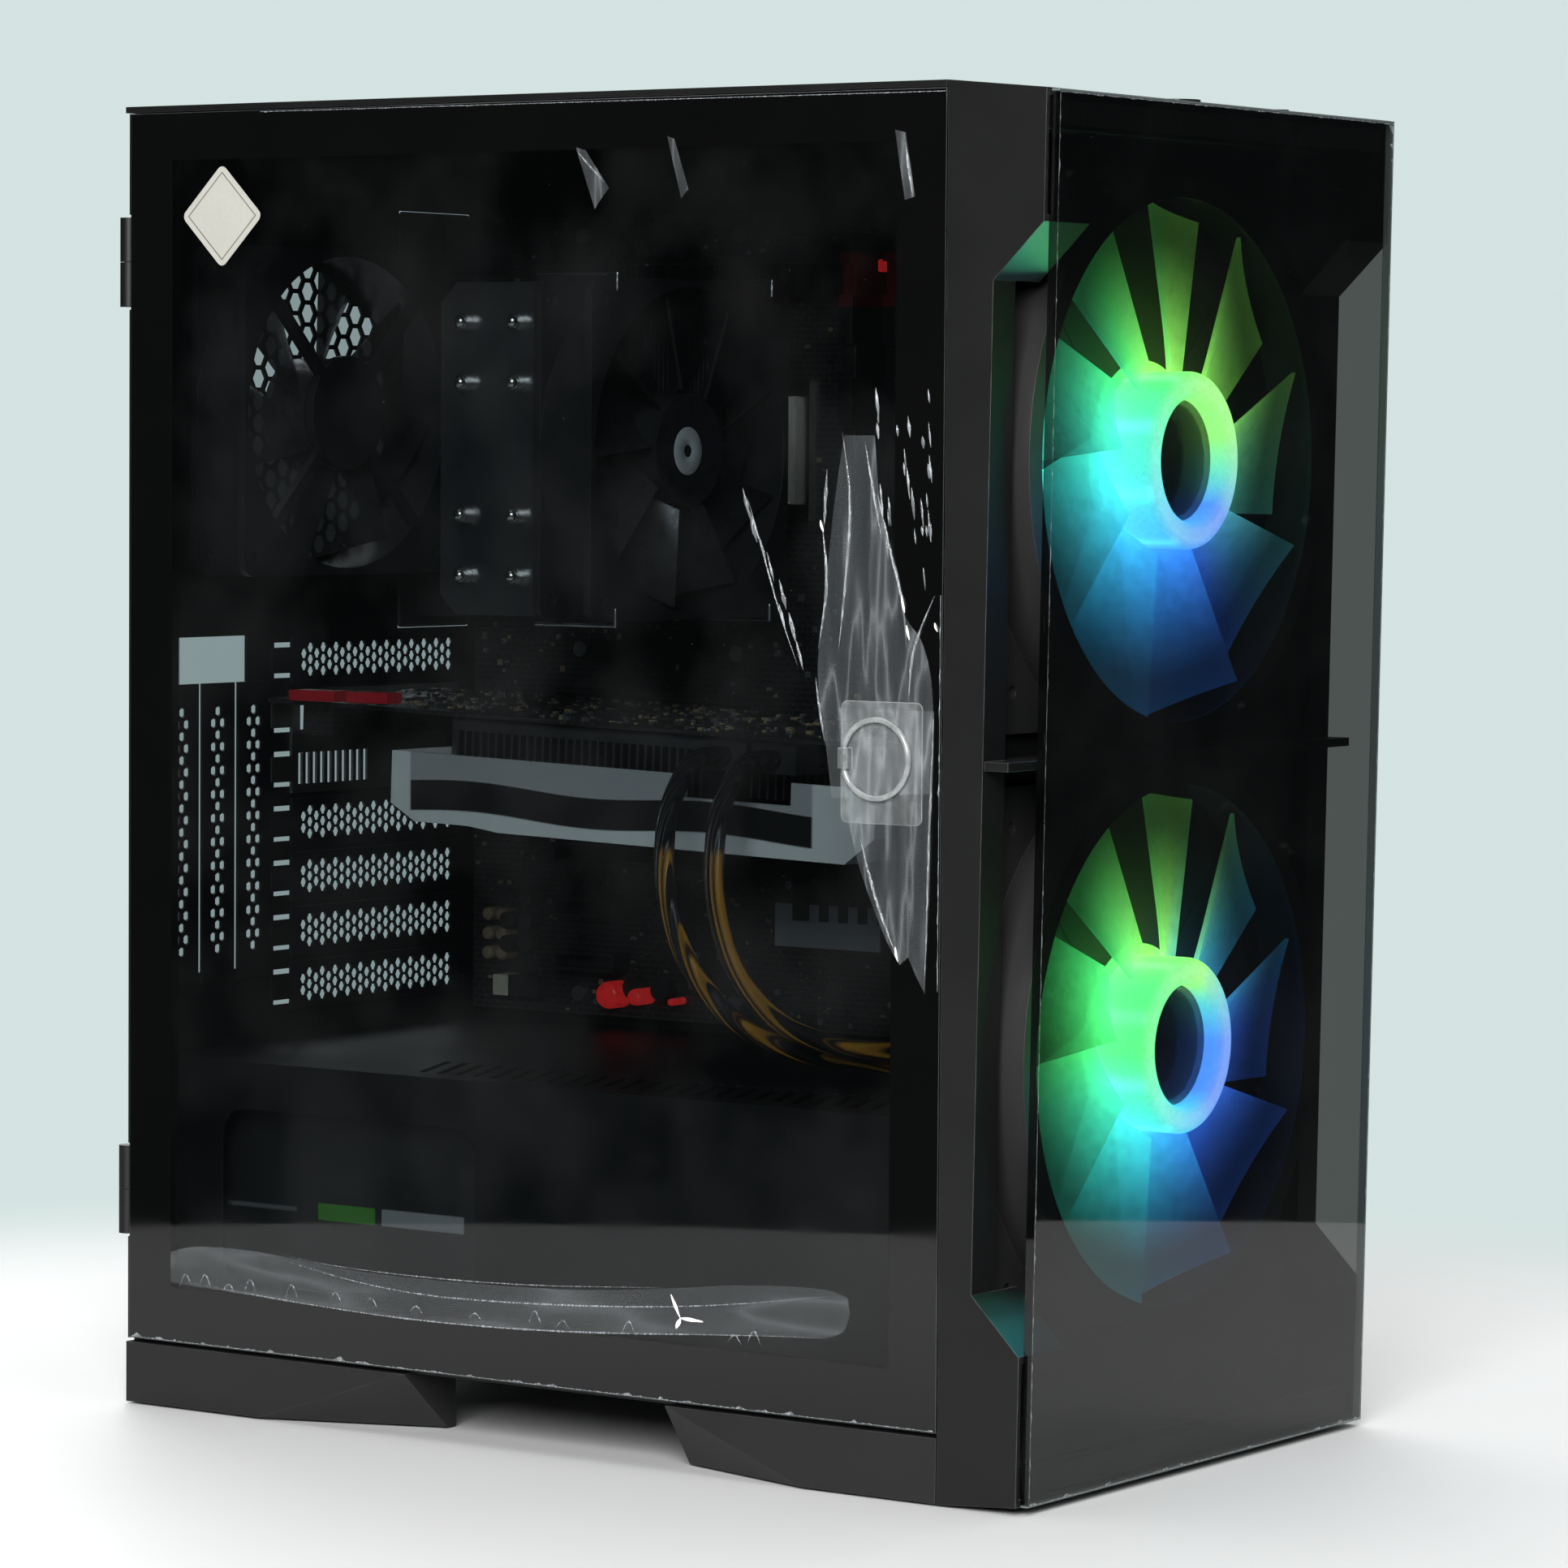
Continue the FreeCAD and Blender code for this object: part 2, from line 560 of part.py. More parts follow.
BUTTON_GAP = 0.25


def bezel_side():
    """Leaning side wall with a vent cut into its front edge."""
    deep = VENT_DEEP
    outline = [
        (SEAM_Y, BEZEL_LOW),
        (front_y(GLASS_LOW), GLASS_LOW),
        (front_y(VENT_LOW), VENT_LOW),
        (front_y(VENT_LOW + VENT_SLOPE) + deep, VENT_LOW + VENT_SLOPE),
        (front_y(VENT_HIGH - VENT_SLOPE) + deep, VENT_HIGH - VENT_SLOPE),
        (front_y(VENT_HIGH), VENT_HIGH),
        (front_y(TOP - BEZEL_TOP_DROP), TOP - BEZEL_TOP_DROP),
        (SEAM_Y, TOP),
    ]
    return side_prism(outline, (-BEZEL_HALF, -BEZEL_HALF + PLASTIC - 0.7))


def vent_reveals():
    """Faces that lead from the vent's edge inwards: two slopes and the rear face."""
    deep, thick = VENT_DEEP, 2.0
    inner = -BEZEL_HALF + 1
    high_a = (front_y(VENT_HIGH), VENT_HIGH)
    high_b = (front_y(VENT_HIGH - VENT_SLOPE) + deep, VENT_HIGH - VENT_SLOPE)
    low_a = (front_y(VENT_LOW), VENT_LOW)
    low_b = (front_y(VENT_LOW + VENT_SLOPE) + deep, VENT_LOW + VENT_SLOPE)

    def up(point, by):
        return point[0], point[1] + by

    def back(point, by):
        return point[0] + by, point[1]

    return [
        side_prism([high_a, high_b, up(high_b, thick), up(high_a, thick)], (inner, inner + SLOPE_DEEP)),
        side_prism([low_a, low_b, up(low_b, -thick), up(low_a, -thick)], (inner, inner + SLOPE_DEEP)),
        side_prism([up(high_b, thick), high_b, low_b, up(low_b, -thick), back(up(low_b, -thick), thick),
                    back(up(high_b, thick), thick)], (inner, inner + REVEAL_DEEP)),
    ]


def ledge(z_low, z_high):
    """Strip behind the glass, following the lean of the front."""
    off = LEDGE + 1.0
    outline = [(front_y(z_low) + 1.0, z_low), (front_y(z_high) + 1.0, z_high),
               (front_y(z_high) + off, z_high), (front_y(z_low) + off, z_low)]
    return side_prism(outline, (-BEZEL_HALF + 1, BEZEL_HALF - 1))


def front_bezel():
    inner = BEZEL_HALF - 1
    high_front, wall = TOP - BEZEL_TOP_DROP, PLASTIC
    top = side_prism([(SEAM_Y, TOP), (front_y(high_front), high_front),
                      (front_y(high_front), high_front - wall), (SEAM_Y, TOP - wall)], (-inner, inner))
    low = side_prism([(SEAM_Y, BEZEL_LOW), (front_y(GLASS_LOW), GLASS_LOW),
                      (front_y(GLASS_LOW), GLASS_LOW + wall), (SEAM_Y, BEZEL_LOW + wall)],
                     (-inner, inner))
    rib = box((-inner, inner), (FAN_FRONT - 3, SEAM_Y - 6), (RIB_Z - RIB_THICK / 2, RIB_Z + RIB_THICK / 2))
    parts = [top, low, rib, ledge(GLASS_LOW, GLASS_LOW + LEDGE_TALL),
             ledge(high_front - LEDGE_TALL, high_front)]
    for shape in [bezel_side()] + vent_reveals():
        parts += both_sides(shape)
    for x, z in CLIP_PLACES:
        side = 1 if x > 0 else -1
        lug = box(sorted((x - side * 4, side * inner)), (SEAM_Y - 3, SEAM_Y - SEAT), (z - 4, z + 4))
        parts += [lug, rod(CLIP_R, (x, SEAM_Y - SEAT, z), (x, SEAM_Y + STEEL + 3, z))]
    body = fused(parts)
    cuts = [box((x - USB_WIDE / 2, x + USB_WIDE / 2), (TOP_Y - USB_DEEP / 2, TOP_Y + USB_DEEP / 2),
                (TOP - 12, TOP + 1)) for x in USB_X]
    cuts += [rod(2.9, (x, TOP_Y, TOP - 12), (x, TOP_Y, TOP + 1)) for x in AUDIO_X]
    cuts += [rod(r + BUTTON_GAP, (x, TOP_Y, TOP - 12), (x, TOP_Y, TOP + 1))
             for x, r in ((POWER_X, POWER_R), (RESET_X, RESET_R))]
    return body.cut(Part.makeCompound(cuts))


def front_glass():
    back = -GLASS_STAND
    front = back - FRONT_GLASS
    outline = [(front_y(GLASS_LOW) + front, GLASS_LOW), (front_y(GLASS_HIGH) + front, GLASS_HIGH),
               (front_y(GLASS_HIGH) + back, GLASS_HIGH), (front_y(GLASS_LOW) + back, GLASS_LOW)]
    return side_prism(outline, (-GLASS_SIDE, GLASS_SIDE))


def glass_tape():
    """Two strips of foam tape between the glass and the ledges of the bezel."""
    strips = []
    for low, high in ((GLASS_LOW + PLASTIC + 0.5, GLASS_LOW + LEDGE_TALL - 1.5),
                      (TOP - BEZEL_TOP_DROP - LEDGE_TALL + 1.5, TOP - BEZEL_TOP_DROP - PLASTIC - 1)):
        outline = [(front_y(low) - GLASS_STAND, low), (front_y(high) - GLASS_STAND, high),
                   (front_y(high) + 1.0, high), (front_y(low) + 1.0, low)]
        strips.append(side_prism(outline, (-GLASS_SIDE + 4, GLASS_SIDE - 4)))
    return group(strips)


def button(x, radius):
    """Cap, stem and a retaining collar under the wall of the bezel."""
    cap = rod(radius, (x, TOP_Y, TOP - 5.6), (x, TOP_Y, TOP - 1.3))
    collar = rod(radius + 1.6, (x, TOP_Y, TOP - 6.6), (x, TOP_Y, TOP - 5.2))
    return fused([cap, collar])


def usb_socket(x):
    half_w, half_d = USB_WIDE / 2 - 0.1, USB_DEEP / 2 - 0.1
    low, high = TOP - 14, TOP - 1.9
    shell = box((x - half_w, x + half_w), (TOP_Y - half_d, TOP_Y + half_d), (low, high))
    shell = shell.cut(box((x - half_w + 0.5, x + half_w - 0.5), (TOP_Y - half_d + 0.5, TOP_Y + half_d - 0.5),
                          (low + 1, high + 1)))
    tongue = box((x - 5, x + 5), (TOP_Y + 0.6, TOP_Y + half_d - 0.5), (low + 1, high - 1.5))
    return fused([shell, tongue])


def audio_jack(x):
    return tube(2.8, AUDIO_R, (x, TOP_Y, TOP - 14), (x, TOP_Y, TOP - 1.9))


PORT_BOARD_Z = (TOP - 15.6, TOP - 14)


def port_board():
    """Small board under the top of the bezel that carries the sockets and switches."""
    board = box((-84, 84), (TOP_Y - 7, TOP_Y + 7), PORT_BOARD_Z)
    posts = [rod(2, (x, TOP_Y, TOP - 14), (x, TOP_Y, TOP - 8.4)) for x in (POWER_X, RESET_X)]
    hangers = [box((x - 2, x + 2), (TOP_Y - 6, TOP_Y + 6), (TOP - 14, TOP - PLASTIC - 2.6))
               for x in (-82, 82)]
    return fused([board] + posts + hangers)


nodes["front_bezel"] = front_bezel()
nodes["front_glass"] = front_glass()
nodes["glass_tape"] = glass_tape()
nodes["power_button"] = button(POWER_X, POWER_R)
nodes["reset_button"] = button(RESET_X, RESET_R)
nodes["front_sockets"] = group([usb_socket(x) for x in USB_X] + [audio_jack(x) for x in AUDIO_X]
                               + [port_board()])


# ---------------------------------------------------------------- fans
FAN_PIN_R = 1.5


def facing_front(shape, x, y, z):
    """Put a shape drawn with its axis along +Z on an axis along -Y, its back at y."""
    shape = shape.copy()
    shape.rotate(V(0, 0, 0), X_AXIS, 90)
    shape.translate(V(x, y, z))
    return shape


def blade(root_r, tip_r, chord_root, chord_tip, low, high, sweep, thick):
    """One twisted blade between a section at its root and one at its tip."""
    sections = []
    for radius, chord, turn in ((root_r, chord_root, 0), (tip_r, chord_tip, sweep)):
        rise = high - low
        a, b = V(-chord / 2, low, radius), V(chord / 2, high, radius)
        bow = V(0, rise * 0.16, 0)
        lift = V(0, thick, 0)
        mid = (a + b) * 0.5 - bow
        under = Part.Arc(a, mid, b).toShape()
        over = Part.Arc(b + lift, mid + lift, a + lift).toShape()
        wire = Part.Wire([under, Part.LineSegment(b, b + lift).toShape(), over,
                          Part.LineSegment(a + lift, a).toShape()])
        wire.rotate(V(0, 0, 0), Y_AXIS, turn)
        sections.append(wire)
    solid = Part.makeLoft(sections, True, True)
    solid.rotate(V(0, 0, 0), X_AXIS, 90)
    return solid


def impeller(count, hub_r, tip_r, blades_z, hub_z, chords, sweep, thick, root_r=None):
    """Blades around a cup-shaped hub that turns on a pin, axis along +Z."""
    root = root_r or hub_r - 0.8
    cup = rod(hub_r, (0, 0, hub_z[0]), (0, 0, hub_z[1]))
    cup = cup.cut(rod(hub_r - 1.6, (0, 0, hub_z[0]), (0, 0, hub_z[1] - 1.6)))
    boss = tube(FAN_PIN_R + 1.5, FAN_PIN_R, (0, 0, hub_z[0] + 1), (0, 0, hub_z[1] - 1.2))
    parts = [cup, boss]
    if root_r:
        parts.append(tube(root_r + 3.6, hub_r - 1, (0, 0, hub_z[0]), (0, 0, hub_z[0] + 1)))
    first = blade(root, tip_r, chords[0], chords[1], blades_z[0], blades_z[1] - thick, sweep, thick)
    for i in range(count):
        one = first.copy()
        one.rotate(V(0, 0, 0), Z_AXIS, 360 * i / count)
        parts.append(one)
    return fused(parts)


def fan_frame(ring, depth, tab_half, tab_hole, tab_thick, motor_r, core, pin_high, both_faces):
    """Ring with corner tabs, four struts and a motor seat with its pin, axis along +Z."""
    ring_out, ring_in = ring
    core_r, core_high = core
    corner = rounded((-tab_half, tab_half), (-tab_half, tab_half), 6)
    screw_holes = [circle(i * tab_hole, j * tab_hole, 2.2) for i in (-1, 1) for j in (-1, 1)]
    plate = plate_xy([corner, circle(0, 0, ring_in)] + screw_holes, 0, tab_thick)
    parts = [plate, tube(ring_out, ring_in, (0, 0, 0), (0, 0, depth))]
    if both_faces:
        other = plate.copy()
        other.translate(V(0, 0, depth - tab_thick))
        parts.append(other)
    for i in range(4):
        strut = box((motor_r - 2, ring_in + 1), (-2, 2), (0, 3.2))
        strut.rotate(V(0, 0, 0), Z_AXIS, 45 + 90 * i)
        parts.append(strut)
    parts.append(rod(motor_r, (0, 0, 0), (0, 0, 3.2)))
    parts.append(tube(core_r, FAN_PIN_R + 2.5, (0, 0, 3), (0, 0, core_high)))
    parts.append(rod(FAN_PIN_R - RUNNING, (0, 0, 3), (0, 0, pin_high)))
    return fused(parts)


BIG_RING_IN = BIG_FAN_R - 5.0
BIG_TIP_R = BIG_RING_IN - 4.0


HUB_LOW = 5.2


def big_fan_frame():
    frame = fan_frame((BIG_FAN_R, BIG_RING_IN), BIG_FAN_DEPTH, 91, 77, 3.0, 31,
                      (HUB_HOLE_R - 4, 12.0), 18.0, False)
    lip = tube(BIG_FAN_R, BIG_FAN_R - 8, (0, 0, BIG_FAN_DEPTH - 2), (0, 0, BIG_FAN_DEPTH))
    return fused([frame, lip])


def big_impeller():
    return impeller(9, HUB_HOLE_R - 0.1, BIG_TIP_R - 3, (HUB_LOW + 0.2, BIG_FAN_DEPTH - 3.5),
                    (HUB_LOW, BIG_FAN_DEPTH - 1), (26, 50), 14, 1.6, HUB_RING_R + 0.2)


def hub_ring():
    """Frosted ring that spreads the light at the hub, rounded at its front edge."""
    high = BIG_FAN_DEPTH + HUB_REACH
    ring = tube(HUB_RING_R, HUB_HOLE_R, (0, 0, HUB_LOW + 1), (0, 0, high))
    front_edges = [e for e in ring.Edges if e.BoundBox.ZMin > high - 0.01]
    return ring.makeFillet(3.0, front_edges)


for name, z in zip(("lower", "upper"), FAN_CENTRES):
    nodes[name + "_fan_frame"] = facing_front(big_fan_frame(), 0, FAN_BACK, z)
    nodes[name + "_fan_impeller"] = facing_front(big_impeller(), 0, FAN_BACK, z)
    nodes[name + "_fan_light_ring"] = facing_front(hub_ring(), 0, FAN_BACK, z)


def small_fan_frame():
    return fan_frame((60, 57.5), SMALL_FAN_DEPTH, 60, FAN_SCREW, 3.0, 21, (14, 11.0), 21.0, True)


def small_impeller(count):
    return impeller(count, 20, 52.5, (6.0, SMALL_FAN_DEPTH - 2), (5.0, SMALL_FAN_DEPTH - 1),
                    (20, 40), 12, 1.4)


# struts of the rear fan lie on the inside
rear_frame, rear_blades = small_fan_frame(), small_impeller(7)
for shape in (rear_frame, rear_blades):
    shape.rotate(V(0, 0, SMALL_FAN_DEPTH / 2), X_AXIS, 180)
nodes["rear_fan_frame"] = facing_front(rear_frame, FAN_X, REAR_IN, FAN_Z)
nodes["rear_fan_impeller"] = facing_front(rear_blades, FAN_X, REAR_IN, FAN_Z)

# ---------------------------------------------------------------- motherboard
BOARD_THICK = 1.6
BOARD_DEPTH, BOARD_TALL = 244.0, 305.0
BOARD_Y = (-3.5 - BOARD_DEPTH, -3.5)
BOARD_Z = (FIRST_SLOT_Z + 168.0 - BOARD_TALL, FIRST_SLOT_Z + 168.0)
CPU_Y, CPU_Z = -136.0, 346.5
STAND_Y = (BOARD_Y[1] - 52, BOARD_Y[1] - 125, BOARD_Y[0] + 8)
STAND_Z = (BOARD_Z[0] + 8, BOARD_Z[0] + 140, BOARD_Z[1] - 8)
BOARD_SCREWS = [(y, z) for y in STAND_Y for z in STAND_Z]


def motherboard():
    outline = oblong(BOARD_Y, BOARD_Z)
    screws = [circle(y, z, SCREW_HOLE_R) for y, z in BOARD_SCREWS]
    return plate_yz([outline] + screws, BOARD_X, BOARD_THICK)


def on_board(y, z, height, lift=0.0):
    """Block standing on the face of the motherboard."""
    return box((BOARD_X - lift - height, BOARD_X - lift), y, z)


GPU_PLUG_Y = (-141.0, -52.0)                # edge connector of the graphics card
GPU_SOCKET_Z = SLOT_Z[1] + 6.2
SOCKET_HIGH = 11.2
GPU_SAG = 1.7                               # degrees by which the card droops from its bracket


def sag(shape):
    shape = shape.copy()
    shape.rotate(V(0, COVER_IN, GPU_SOCKET_Z), X_AXIS, GPU_SAG)
    return shape


def board_parts():
    """Rear sockets, power and data headers, capacitors and switches of the motherboard."""
    parts = []
    heights = (30, 14, 22, 28, 34, 30, 22, 14)
    step = (IO_HEIGHT - 8) / len(heights)
    for i, high in enumerate(heights):
        z = IO_Z + 4 + step * i
        parts.append(on_board((BOARD_Y[1] - 18, REAR_IN - 0.8), (z + 0.6, z + step - 1.0), high))
    parts.append(on_board((BOARD_Y[0] + 1, BOARD_Y[0] + 11), (FIRST_SLOT_Z + 20, FIRST_SLOT_Z + 72), 12))
    for i in range(4):
        z = BOARD_Z[0] + 36 + 15 * i
        parts.append(on_board((BOARD_Y[0] + 1, BOARD_Y[0] + 15), (z, z + 13), 9))
    for i in range(3):
        for j in range(2):
            y, z = BOARD_Y[1] - 22 - 9 * j, BOARD_Z[0] + 26 + 9 * i
            parts.append(rod(3.2, (BOARD_X - 8, y, z), (BOARD_X, y, z)))
    parts.append(on_board((BOARD_Y[1] - 38, BOARD_Y[1] - 24), (BOARD_Z[0] + 6, BOARD_Z[0] + 14), 9))
    for y in (-84, -97):
        parts.append(rod(4.2, (BOARD_X - 6, y, BOARD_Z[0] + 12), (BOARD_X, y, BOARD_Z[0] + 12)))
    for i in range(8):
        y = BOARD_Y[1] - 40 - 9 * i
        parts.append(rod(3.4, (BOARD_X - 9, y, BOARD_Z[1] - 14), (BOARD_X, y, BOARD_Z[1] - 14)))
    return group(parts)


def finned(y, z, height, base, fins, along_y):
    """Heatsink block with slots between its fins."""
    block = on_board(y, z, height)
    span = y if along_y else z
    pitch = (span[1] - span[0]) / fins
    slots = []
    for i in range(fins - 1):
        low = span[0] + pitch * (i + 0.62)
        gap = (low, low + pitch * 0.62)
        sides = (gap, (z[0] - 1, z[1] + 1)) if along_y else ((y[0] - 1, y[1] + 1), gap)
        slots.append(box((BOARD_X - height - 1, BOARD_X - base), *sides))
    return block.cut(Part.makeCompound(slots))


def board_heatsinks():
    return group([
        finned((-46, -26), (IO_Z + 20, IO_Z + 128), 24, 6, 14, False),
        finned((CPU_Y - 45, CPU_Y + 45), (BOARD_Z[1] - 32, BOARD_Z[1] - 20), 22, 6, 12, True),
        finned((-212, -160), (BOARD_Z[0] + 42, BOARD_Z[0] + 88), 9, 4, 6, True),
    ])


MEMORY_Y = [BOARD_Y[0] + 30 + 9.5 * i for i in range(4)]
MEMORY_Z = (BOARD_Z[1] - 146, BOARD_Z[1] - 6)


def board_sockets():
    """Expansion and memory sockets, each with the groove its card stands in."""
    parts = []
    for i in range(1, SLOT_COUNT):
        z = SLOT_Z[i] + 6.2
        long = i in (1, 4)
        y = GPU_PLUG_Y if long else (GPU_PLUG_Y[1] - 25, GPU_PLUG_Y[1])
        body = on_board((y[0] - 2, y[1] + 2), (z - 3.6, z + 3.6), SOCKET_HIGH)
        groove = on_board((y[0] - 0.5, y[1] + 0.5), (z - 2.4, z + 2.4), 9.0, SOCKET_HIGH - 8.8)
        socket = body.cut(groove)
        parts.append(sag(socket) if i == 1 else socket)
    for y in MEMORY_Y:
        body = on_board((y - 3, y + 3), MEMORY_Z, 7.5)
        groove = on_board((y - 1.1, y + 1.1), (MEMORY_Z[0] + 3, MEMORY_Z[1] - 3), 6.0, 2.0)
        parts.append(body.cut(groove))
    return group(parts)


def memory_modules():
    """Two modules with heat spreaders, seated in alternate sockets."""
    parts = []
    for y in MEMORY_Y[::2]:
        z = (MEMORY_Z[0] + 4, MEMORY_Z[1] - 4)
        card = on_board((y - 0.7, y + 0.7), z, 27, 3.2)
        spreader = on_board((y - 2.8, y + 2.8), z, 26, 7.8)
        notches = [on_board((y - 4, y + 4), (z[0] + 20 + 30 * i, z[0] + 32 + 30 * i), 4, 31)
                   for i in range(4)]
        parts.append(fused([card, spreader.cut(Part.makeCompound(notches))]))
    return group(parts)


nodes["motherboard"] = motherboard()
nodes["board_parts"] = board_parts()
nodes["board_heatsinks"] = board_heatsinks()
nodes["board_sockets"] = board_sockets()
nodes["memory_modules"] = memory_modules()


def io_shield():
    """Thin plate in the rear opening with one window for each group of sockets."""
    step = (IO_HEIGHT - 8) / 8
    windows = [oblong((IO_X + 6, IO_X + IO_WIDTH - 6), (IO_Z + 4 + step * i + 2, IO_Z + 2 + step * (i + 1)))
               for i in range(8)]
    outline = rounded((IO_X + 0.2, IO_X + IO_WIDTH - 0.2), (IO_Z + 0.2, IO_Z + IO_HEIGHT - 0.2), 2)
    return plate_xz([outline] + windows, REAR_IN + 0.2, 0.6)


nodes["io_shield"] = io_shield()

# ---------------------------------------------------------------- processor cooler
FIN_DEEP, FIN_TALL = 46.0, 117.0
FIN_X = (BOARD_X - 162.0, BOARD_X - 56.0)   # outermost and innermost fin
FIN_THICK = 0.5
FIN_COUNT = 40
PIPE_R = 3.0
PIPE_DY, PIPE_ZS = 11.4, (CPU_Z - 44.5, CPU_Z - 23.2, CPU_Z + 23.3, CPU_Z + 44.6)
COOLER_FAN_X = (FIN_X[0] + FIN_X[1]) / 2
COOLER_FAN_Y = CPU_Y - FIN_DEEP / 2 - SEAT


def cooler_base():
    """Contact block, mounting bar and eight pipe runs that rise through the fins."""
    plate = box((BOARD_X - 9, BOARD_X - 3), (CPU_Y - 20, CPU_Y + 20), (CPU_Z - 20, CPU_Z + 20))
    socket = box((BOARD_X - 3, BOARD_X), (CPU_Y - 26, CPU_Y + 26), (CPU_Z - 26, CPU_Z + 26))
    bar = box((BOARD_X - 12, BOARD_X - 9), (CPU_Y - 8, CPU_Y + 8), (CPU_Z - 42, CPU_Z + 42))
    legs = [box((BOARD_X - 12, BOARD_X), (CPU_Y - 5, CPU_Y + 5), (z - 3, z + 3))
            for z in (CPU_Z - 39, CPU_Z + 39)]
    parts = [plate, socket, bar] + legs
    low_x, knee_x, top_x = BOARD_X - 13.5, BOARD_X - 40, FIN_X[0] - 3.5
    for dy in (-PIPE_DY, PIPE_DY):
        for z in PIPE_ZS:
            start = V(low_x, CPU_Y + dy * 0.5, CPU_Z + (z - CPU_Z) * 0.3)
            knee = V(knee_x, CPU_Y + dy, z)
            tip = V(top_x, CPU_Y + dy, z)
            parts += [rod(PIPE_R, start, knee), Part.makeSphere(PIPE_R, knee), rod(PIPE_R, knee, tip),
                      Part.makeSphere(PIPE_R * 0.8, tip)]
    parts.append(box((BOARD_X - 18, BOARD_X - 9), (CPU_Y - 17, CPU_Y + 17), (CPU_Z - 20, CPU_Z + 20)))
    return fused(parts)


def cooler_fins():
    """Stack of thin plates pressed over the pipes."""
    y, z = (CPU_Y - FIN_DEEP / 2, CPU_Y + FIN_DEEP / 2), (CPU_Z - FIN_TALL / 2, CPU_Z + FIN_TALL / 2)
    holes = [circle(CPU_Y + dy, pz, PIPE_R + 0.02) for dy in (-PIPE_DY, PIPE_DY) for pz in PIPE_ZS]
    corner = 7.0
    outline = polygon([(y[0], z[0], 0), (y[1] - corner, z[0], 0), (y[1], z[0] + corner, 0),
                       (y[1], z[1] - corner, 0), (y[1] - corner, z[1], 0), (y[0], z[1], 0)])
    step = (FIN_X[1] - FIN_X[0]) / (FIN_COUNT - 1)
    first = plate_yz([outline] + holes, FIN_X[0], FIN_THICK)
    fins = []
    for i in range(FIN_COUNT):
        fin = first.copy()
        fin.translate(V(step * i, 0, 0))
        fins.append(fin)
    edge = [box((FIN_X[0], FIN_X[1] + FIN_THICK), (y[0] + 4, y[0] + 12), (zz, zz + 0.5))
            for zz in (z[0], z[1] - 0.5)]
    return fused(fins + edge)


def cooler_clips():
    """Wire clips that hook round the fan and into the fins, above and below."""
    clips = []
    for side in (-1, 1):
        z = CPU_Z + side * (SMALL_FAN / 2 + 1.2)
        for x in (COOLER_FAN_X - 47, COOLER_FAN_X + 47):
            back, front = CPU_Y - FIN_DEEP / 2 + 8, COOLER_FAN_Y - SMALL_FAN_DEPTH - 1.4
            hook_z = z - side * 5.5
            long = rod(0.9, (x, back, z), (x, front, z))
            hook = rod(0.9, (x, front, z), (x, front, hook_z))
            clips.append(fused([long, hook, Part.makeSphere(0.9, V(x, front, z)),
                                Part.makeSphere(0.9, V(x, front, hook_z))]))
    return group(clips)


nodes["cooler_base"] = cooler_base()
nodes["cooler_fins"] = cooler_fins()
nodes["cooler_fan_frame"] = facing_front(small_fan_frame(), COOLER_FAN_X, COOLER_FAN_Y, CPU_Z)
nodes["cooler_fan_impeller"] = facing_front(small_impeller(9), COOLER_FAN_X, COOLER_FAN_Y, CPU_Z)
nodes["cooler_clips"] = cooler_clips()

# ---------------------------------------------------------------- graphics card
GPU_FAR = -287.0
CARD_TOP_X = BOARD_X - 123.0
SHROUD_X = (BOARD_X - 143.0, BOARD_X - 14.0)
CARD_Z = GPU_SOCKET_Z
SHROUD_Z = (CARD_Z - 38.0, CARD_Z - 13.0)
GPU_FANS_Y = (-131.0, -232.0)
GPU_FAN_X = (SHROUD_X[0] + SHROUD_X[1]) / 2
GPU_FAN_R = 47.0
PLUGS_Y = (-240.0, -219.0)
PLUG_WIDE = 18.6


def gpu_board():
    """Circuit board with its edge connector, its rear sockets and its power sockets."""
    card = box((CARD_TOP_X, BOARD_X - SOCKET_HIGH - 0.6), (GPU_FAR + 14, -2.0), (CARD_Z - 0.8, CARD_Z + 0.8))
    edge = box((BOARD_X - SOCKET_HIGH - 1, BOARD_X - SOCKET_HIGH + 5),
               (GPU_PLUG_Y[0] + 2, GPU_PLUG_Y[1] - 2), (CARD_Z - 0.8, CARD_Z + 0.8))
    parts = [card, edge]
    for x, wide in ((BOARD_X - 102, 36), (BOARD_X - 63, 16), (BOARD_X - 44, 16)):
        parts.append(box((x, x + wide), (-16, -2.0), (CARD_Z - 13.5, CARD_Z - 0.8)))
    for y in PLUGS_Y:
        parts.append(box((CARD_TOP_X + 1, CARD_TOP_X + 14), (y - PLUG_WIDE / 2, y + PLUG_WIDE / 2),
                         (CARD_Z - 11, CARD_Z - 0.8)))
    return sag(fused(parts))


